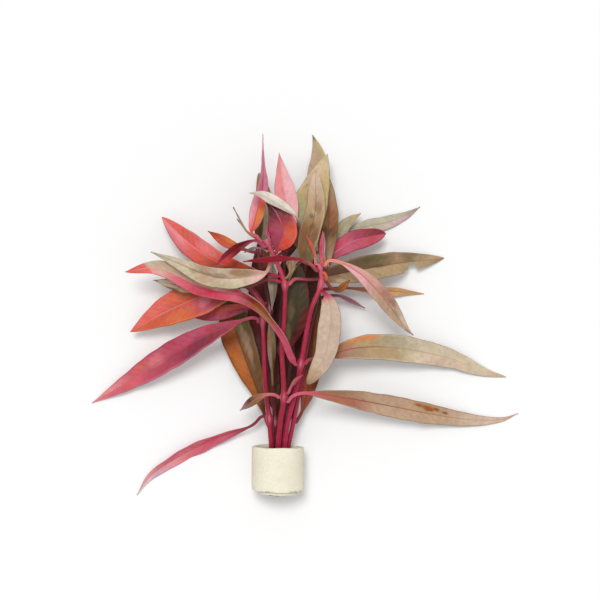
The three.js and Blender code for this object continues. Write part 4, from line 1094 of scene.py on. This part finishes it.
def remap(tree, value, low, high, to_low, to_high):
    """Eases a value from one range to another with a smooth step."""
    inputs = {"Value": value, "From Min": low, "From Max": high}
    inputs.update({"To Min": to_low, "To Max": to_high})
    made = add_node(tree, "ShaderNodeMapRange", inputs, interpolation_type="SMOOTHSTEP")
    return made.outputs["Result"]


def noise(tree, place, scale, detail=3.0):
    """Cloudy noise, scale times as fine as a metre."""
    inputs = {"Vector": place, "Scale": scale, "Detail": detail, "Roughness": 0.55}
    return add_node(tree, "ShaderNodeTexNoise", inputs).outputs["Fac"]


def cells(tree, place, scale, **settings):
    """Distance in a cell pattern, scale times as fine as its place's own unit."""
    inputs = {"Vector": place, "Scale": scale}
    return add_node(tree, "ShaderNodeTexVoronoi", inputs, **settings).outputs["Distance"]


def blend_colours(tree, share, first, second, kind="MIX"):
    """Mixes two colours by a share of the second."""
    made = add_node(tree, "ShaderNodeMix", {}, data_type="RGBA", blend_type=kind)
    for place, value in zip(MIX_INPUTS, (share, first, second)):
        feed(tree, made.inputs[place], value)
    return made.outputs[MIX_RESULT]


def shaded(tree, colour, shade):
    """A colour times a shade."""
    return blend_colours(tree, 1.0, colour, shade, "MULTIPLY")


def point_colour(tree, name):
    """One of the colours that set_colour stored on the piece's points."""
    return add_node(tree, "ShaderNodeAttribute", {}, attribute_name=name).outputs["Color"]


def surface_place(tree, name):
    """The two numbers of one of the piece's own maps, and the map's vector."""
    vector = add_node(tree, "ShaderNodeUVMap", {}, uv_map=name).outputs["UV"]
    split = add_node(tree, "ShaderNodeSeparateXYZ", {"Vector": vector})
    return split.outputs["X"], split.outputs["Y"], vector


def object_place(tree):
    """The place on the piece in metres."""
    return add_node(tree, "ShaderNodeTexCoord", {}).outputs["Object"]


def start_material(name):
    """A new material with an empty node tree, and the tree."""
    material = bpy.data.materials.new(name)
    material.use_nodes = True
    material.node_tree.nodes.clear()
    return material, material.node_tree


def end_material(tree, colour, roughness, height, bump, constants):
    """Joins a colour, a roughness and a height to a surface, with the rest as fixed values."""
    inputs = {"Height": height, "Strength": bump, "Distance": BUMP_DISTANCE}
    raised = add_node(tree, "ShaderNodeBump", inputs).outputs["Normal"]
    inputs = {"Base Color": colour, "Roughness": roughness, "Normal": raised, **constants}
    shader = add_node(tree, "ShaderNodeBsdfPrincipled", inputs)
    add_node(tree, "ShaderNodeOutputMaterial", {"Surface": shader.outputs["BSDF"]})


def leaf_lines(tree, broad):
    """Where the midrib, the side veins, their soft edges and the finest net of veins lie.

    Side veins lie where the distance along the leaf, less a share of the distance from the midrib,
    is a whole number of vein spacings, half a spacing apart on the two halves.
    """
    across, along, vector = surface_place(tree, "veins")
    away = calc(tree, "ABSOLUTE", across)
    midrib = remap(tree, away, 0.14, 0.5, 1.0, 0.0)
    lean = calc(tree, "MULTIPLY_ADD", away, -VEIN_LEAN, along)
    turn = calc(tree, "MULTIPLY_ADD", broad, 1.1, calc(tree, "DIVIDE", lean, VEIN_SPACING))
    halves = calc(tree, "MULTIPLY_ADD", calc(tree, "SIGN", across), 0.25, turn)
    near = calc(tree, "ABSOLUTE", calc(tree, "SUBTRACT", calc(tree, "FRACT", halves), 0.5))
    veins = remap(tree, near, 0.05, 0.0, 0.0, 1.0)
    soft_veins = remap(tree, near, 0.22, 0.0, 0.0, 1.0)
    edges = cells(tree, vector, 1.0, feature="DISTANCE_TO_EDGE")
    return midrib, veins, soft_veins, remap(tree, edges, 0.0, 0.12, 1.0, 0.0)


def leaf_finish(slot, settings):
    """Leaf skin: the blade's own colours, mottled, with a midrib, leaning side veins and specks."""
    material, tree = start_material("skin_" + slot)
    place = object_place(tree)
    broad = noise(tree, place, 70.0)
    fine = noise(tree, place, 420.0, 4.0)
    midrib, veins, soft_veins, net = leaf_lines(tree, broad)

    colour = shaded(tree, point_colour(tree, "blade"), remap(tree, fine, 0.25, 0.75, 0.86, 1.1))
    blotch = remap(tree, noise(tree, place, 170.0, 2.0), 0.3, 0.7, 0.94, 1.05)
    colour = shaded(tree, colour, blotch)
    drift = remap(tree, broad, 0.3, 0.7, 0.495, 0.505)
    strength = remap(tree, fine, 0.3, 0.7, 0.94, 1.06)
    colour = add_node(
        tree, "ShaderNodeHueSaturation", {"Color": colour, "Hue": drift, "Saturation": strength}
    ).outputs["Color"]
    specks = remap(tree, noise(tree, place, 1100.0, 2.0), 0.66, 0.74, 0.0, 1.0)
    speck = times(tree, specks, settings.speck_strength)
    colour = blend_colours(tree, speck, colour, tone("umber"))
    rib = point_colour(tree, "rib")
    lines = (net, 0.06), (soft_veins, 0.05), (veins, settings.vein_strength), (midrib, 0.8)
    for line, share in lines:
        colour = blend_colours(tree, times(tree, line, share), colour, rib)

    roughness = remap(tree, fine, 0.2, 0.8, settings.roughness - 0.08, settings.roughness + 0.12)
    height = fine
    for line, depth in (midrib, 0.5), (soft_veins, 0.35), (net, 0.12):
        height = calc(tree, "MULTIPLY_ADD", line, -depth, height)
    end_material(tree, colour, roughness, height, 0.45, {
        "Specular IOR Level": 0.22,
        "Subsurface Weight": 0.1,
        "Subsurface Radius": (0.001, 0.0004, 0.0003),
    })
    return material


def stem_finish(settings):
    """Stem skin: its own colours with long pale and dark streaks and fine ribs.

    The streaks are noise around the stem, on the sine and cosine of the turn, drawn out along it.
    """
    material, tree = start_material("skin_stem")
    part, along, _ = surface_place(tree, "streaks")
    turn = times(tree, part, 2 * math.pi)
    vector = add_node(tree, "ShaderNodeCombineXYZ", {
        "X": calc(tree, "SINE", turn),
        "Y": calc(tree, "COSINE", turn),
        "Z": times(tree, along, 0.06),
    }).outputs["Vector"]
    streaks = noise(tree, vector, 3.2, 4.0)
    fine = noise(tree, object_place(tree), 900.0, 3.0)
    pale = times(tree, remap(tree, streaks, 0.56, 0.7, 0.0, 1.0), 0.35)
    colour = blend_colours(tree, pale, point_colour(tree, "skin"), tone("raspberry"))
    dark = times(tree, remap(tree, streaks, 0.44, 0.3, 0.0, 1.0), 0.4)
    colour = blend_colours(tree, dark, colour, tone("garnet"))
    colour = shaded(tree, colour, remap(tree, fine, 0.25, 0.75, 0.86, 1.1))
    roughness = remap(tree, fine, 0.2, 0.8, settings.roughness - 0.06, settings.roughness + 0.1)
    height = calc(tree, "MULTIPLY_ADD", streaks, 1.4, fine)
    end_material(tree, colour, roughness, height, 0.4, {
        "Specular IOR Level": 0.35,
        "Subsurface Weight": 0.08,
        "Subsurface Radius": (0.001, 0.0003, 0.0003),
    })
    return material


def foam_finish(settings):
    """Foam: cream, small open cells, faint stains, painted shade in the pits and at the cut end."""
    material, tree = start_material("foam_cream_cells")
    place = object_place(tree)
    fine = noise(tree, place, 1500.0, 4.0)
    deep = remap(tree, cells(tree, place, 1700.0), 0.0, 0.45, 1.0, 0.0)
    stains = times(tree, remap(tree, noise(tree, place, 90.0), 0.35, 0.7, 0.0, 1.0), 0.35)
    colour = blend_colours(tree, stains, settings.colour, settings.stain_and_pit_shade)
    colour = shaded(tree, colour, remap(tree, fine, 0.25, 0.75, 0.93, 1.04))
    # Painted shade in each cell's pit, a little towards the stain colour
    colour = blend_colours(tree, times(tree, deep, 0.12), colour, settings.stain_and_pit_shade)
    # Painted shade in the step at the cut end and at the inner edge, darkened towards olive
    painted_rim_shade = add_node(tree, "ShaderNodeSeparateColor", {"Color": point_colour(tree, "painted_rim_shade")})
    ragged = remap(tree, noise(tree, place, 700.0), 0.35, 0.6, 0.1, 0.9)
    painted_rim_shade_weight = times(tree, painted_rim_shade.outputs["Red"], ragged)
    colour = blend_colours(tree, painted_rim_shade_weight, colour, tone("olive"))
    height = calc(tree, "MULTIPLY_ADD", deep, -0.8, fine)
    roughness = remap(tree, fine, 0.2, 0.8, 0.88, 0.98)
    end_material(tree, colour, roughness, height, 0.5, {"Specular IOR Level": 0.2})
    return material


def floor_finish(settings):
    """Smooth pale floor with a faint unevenness in its gloss."""
    material, tree = start_material("studio_floor")
    grain = noise(tree, object_place(tree), 12.0)
    roughness = remap(tree, grain, 0.2, 0.8, 0.75, 0.85)
    constants = {"Specular IOR Level": 0.15}
    end_material(tree, settings.floor_colour, roughness, grain, 0.0, constants)
    return material


def build_leaves(leaves, first_seed):
    """Builds a table's leaves, with the usual value for whatever a leaf doesn't give."""
    settings = bpy.context.scene.bunch_leaves
    for seed, shape in enumerate(leaves, first_seed):
        leaf = {**USUAL_LEAF, "right": shape["left"], **shape}
        slot = SLOTS[leaf["name"]]
        material = bpy.data.materials.get("skin_" + slot) or leaf_finish(slot, settings)
        finish_piece(leaf_blade(leaf, seed, settings), leaf["name"], material)


def lay_floor(settings):
    """One square face around the origin."""
    mesh = bpy.data.meshes.new("studio_floor")
    reach = FLOOR_REACH
    corners = [(-reach, -reach, 0), (reach, -reach, 0), (reach, reach, 0), (-reach, reach, 0)]
    mesh.from_pydata(corners, [], [(0, 1, 2, 3)])
    mesh.materials.append(floor_finish(settings))
    floor = bpy.data.objects.new("studio_floor", mesh)
    bpy.context.scene.collection.objects.link(floor)


def add_light(name, kind, place, power):
    """A lamp of one of Blender's kinds at a place, facing the middle of the bunch."""
    light = bpy.data.lights.new(name, kind)
    light.energy = power
    lamp = bpy.data.objects.new(name, light)
    lamp.location = place
    aim = np.array(LIGHT_TARGET) - np.array(place)
    flat = math.hypot(aim[0], aim[1])
    lamp.rotation_euler = (math.atan2(flat, -aim[2]), 0, math.atan2(-aim[0], aim[1]))
    bpy.context.scene.collection.objects.link(lamp)
    return light


def set_sky(strength):
    """Even white light from all sides."""
    world = bpy.data.worlds.new("pale_room")
    world.use_nodes = True
    sky = world.node_tree.nodes["Background"]
    sky.inputs["Color"].default_value = (1.0, 1.0, 1.0, 1.0)
    sky.inputs["Strength"].default_value = strength
    bpy.context.scene.world = world


def set_camera():
    """A camera over the middle of the view, whose lens shows the view's width on the surface."""
    camera = bpy.data.cameras.new("photo_camera")
    camera.sensor_width = SENSOR_WIDTH
    camera.lens = SENSOR_WIDTH / 2 / (VIEW_WIDTH / 2 / VIEW_HEIGHT)
    camera.clip_start = 0.01
    eye = bpy.data.objects.new("photo_camera", camera)
    eye.location = (np.array([*VIEW_MIDDLE, VIEW_HEIGHT]) + ORIGIN) * MM
    bpy.context.scene.collection.objects.link(eye)
    bpy.context.scene.camera = eye


class FoamSettings(bpy.types.PropertyGroup):
    colour: FloatVectorProperty(
        name="Colour", description="Colour of the foam", subtype="COLOR", size=3, min=0, max=1,
        default=(0.77, 0.725, 0.59),
    )
    # Also the colour of the painted shade in the cells' pits
    stain_and_pit_shade: FloatVectorProperty(
        name="Stain", description="Colour of the foam's cells and faint stains", subtype="COLOR",
        size=3, min=0, max=1, default=(0.66, 0.6, 0.44),
    )
    softness: FloatProperty(
        name="Softness", description="How much the roll is dented", default=1.0, min=0, max=3,
    )


class StemSettings(bpy.types.PropertyGroup):
    ridge_depth: FloatProperty(
        name="Ridge depth", description="Depth of the ridges as a share of the radius",
        default=0.05, min=0, max=0.3, subtype="FACTOR",
    )
    roughness: FloatProperty(
        name="Roughness", description="Roughness of the stems' skin", default=0.38, min=0.1,
        max=0.9, subtype="FACTOR",
    )


class LeafSettings(bpy.types.PropertyGroup):
    thickness: FloatProperty(
        name="Thickness", description="Thickness of a blade in millimetres", default=0.34,
        min=0.1, max=1,
    )
    wave_height: FloatProperty(
        name="Wave height", description="Height of the waves at the margins in millimetres",
        default=0.7, min=0, max=2,
    )
    vein_strength: FloatProperty(
        name="Vein strength", description="How clearly the side veins show", default=0.24, min=0,
        max=1, subtype="FACTOR",
    )
    speck_strength: FloatProperty(
        name="Speck strength", description="How clearly the dark specks show", default=0.42, min=0,
        max=1, subtype="FACTOR",
    )
    roughness: FloatProperty(
        name="Roughness", description="Roughness of the leaves' skin", default=0.5, min=0.1,
        max=0.9, subtype="FACTOR",
    )


class StageSettings(bpy.types.PropertyGroup):
    floor_colour: FloatVectorProperty(
        name="Floor colour", description="Colour of the floor", subtype="COLOR", size=3, min=0,
        max=1, default=(0.8, 0.8, 0.8),
    )
    main_strength: FloatProperty(
        name="Main light", description="Strength of the even main light", default=1.8, min=0,
    )
    main_softness: FloatProperty(
        name="Main light softness", description="Angle that the main light spans, for soft "
        "shadows", default=math.radians(20), min=0, max=math.pi, subtype="ANGLE",
    )
    fill_power: FloatProperty(
        name="Fill light", description="Power of the light overhead", default=2.5, min=0,
        unit="POWER",
    )
    sky_strength: FloatProperty(
        name="Sky", description="Strength of the even light from all sides", default=0.6, min=0,
    )


class BUNCH_OT_foam(bpy.types.Operator):
    """Rolls the foam strip around the stem ends"""

    bl_idname = "bunch.foam"
    bl_label = "Foam Collar"

    def execute(self, context):
        settings = context.scene.bunch_foam
        collar = foam_strip(settings)
        finish_piece(collar, "foam_collar", foam_finish(settings))
        return {"FINISHED"}


class BUNCH_OT_stems(bpy.types.Operator):
    """Builds the seven stems with their swollen joints"""

    bl_idname = "bunch.stems"
    bl_label = "Stems"

    def execute(self, context):
        settings = context.scene.bunch_stems
        material = stem_finish(settings)
        for name, stem in STEMS.items():
            finish_piece(stem_skin(name, stem, settings), name, material)
        return {"FINISHED"}


class BUNCH_OT_left_leaves(bpy.types.Operator):
    """Builds the leaves that reach to the left, and those low beside the stems"""

    bl_idname = "bunch.left_leaves"
    bl_label = "Left Leaves"

    def execute(self, context):
        build_leaves(LEFT_LEAVES, first_seed=100)
        return {"FINISHED"}


class BUNCH_OT_top_leaves(bpy.types.Operator):
    """Builds the leaves at the far end of the bunch"""

    bl_idname = "bunch.top_leaves"
    bl_label = "Top Leaves"

    def execute(self, context):
        build_leaves(TOP_LEAVES, first_seed=200)
        return {"FINISHED"}


class BUNCH_OT_middle_leaves(bpy.types.Operator):
    """Builds the leaves over and behind the stems, and the small ones at the top joints"""

    bl_idname = "bunch.middle_leaves"
    bl_label = "Middle Leaves"

    def execute(self, context):
        build_leaves(MIDDLE_LEAVES, first_seed=300)
        return {"FINISHED"}


class BUNCH_OT_right_leaves(bpy.types.Operator):
    """Builds the leaves that reach to the right"""

    bl_idname = "bunch.right_leaves"
    bl_label = "Right Leaves"

    def execute(self, context):
        build_leaves(RIGHT_LEAVES, first_seed=400)
        return {"FINISHED"}


class BUNCH_OT_under_leaves(bpy.types.Operator):
    """Builds the leaves that the bunch lies on"""

    bl_idname = "bunch.under_leaves"
    bl_label = "Underside Leaves"

    def execute(self, context):
        build_leaves(UNDER_LEAVES, first_seed=500)
        return {"FINISHED"}


class BUNCH_OT_stage(bpy.types.Operator):
    """Sets up the pale floor, the soft lights and the camera that looks straight down"""

    bl_idname = "bunch.stage"
    bl_label = "Stage"

    def execute(self, context):
        settings = context.scene.bunch_stage
        lay_floor(settings)
        main_light = add_light("main_light", "SUN", MAIN_LIGHT_PLACE, settings.main_strength)
        main_light.angle = settings.main_softness
        fill_light = add_light("fill_light", "AREA", FILL_LIGHT_PLACE, settings.fill_power)
        fill_light.size = FILL_LIGHT_SIZE
        set_sky(settings.sky_strength)
        context.scene.view_settings.view_transform = "Standard"
        set_camera()
        return {"FINISHED"}


OPERATORS = [
    BUNCH_OT_foam, BUNCH_OT_stems, BUNCH_OT_left_leaves, BUNCH_OT_top_leaves,
    BUNCH_OT_middle_leaves, BUNCH_OT_right_leaves, BUNCH_OT_under_leaves, BUNCH_OT_stage,
]

SETTINGS = {
    "bunch_foam": FoamSettings,
    "bunch_stems": StemSettings,
    "bunch_leaves": LeafSettings,
    "bunch_stage": StageSettings,
}


class BUNCH_PT_panel(bpy.types.Panel):
    """Lists the pieces of the bunch and their settings"""

    bl_idname = "BUNCH_PT_panel"
    bl_label = "Alternanthera Bunch"
    bl_space_type = "VIEW_3D"
    bl_region_type = "UI"
    bl_category = "Bunch"

    def draw(self, context):
        column = self.layout.column()
        for operator in OPERATORS:
            column.operator(operator.bl_idname)
        for name, group in SETTINGS.items():
            for key in group.__annotations__:
                column.prop(getattr(context.scene, name), key)


def register():
    for group in SETTINGS.values():
        bpy.utils.register_class(group)
    for name, group in SETTINGS.items():
        setattr(bpy.types.Scene, name, PointerProperty(type=group))
    for operator in OPERATORS:
        bpy.utils.register_class(operator)
    bpy.utils.register_class(BUNCH_PT_panel)


def unregister():
    bpy.utils.unregister_class(BUNCH_PT_panel)
    for operator in reversed(OPERATORS):
        bpy.utils.unregister_class(operator)
    for name, group in reversed(SETTINGS.items()):
        delattr(bpy.types.Scene, name)
        bpy.utils.unregister_class(group)


def main():
    register()
    bpy.ops.bunch.foam()
    bpy.ops.bunch.stems()
    bpy.ops.bunch.left_leaves()
    bpy.ops.bunch.top_leaves()
    bpy.ops.bunch.middle_leaves()
    bpy.ops.bunch.right_leaves()
    bpy.ops.bunch.under_leaves()
    bpy.ops.bunch.stage()


if __name__ == "__main__":
    main()
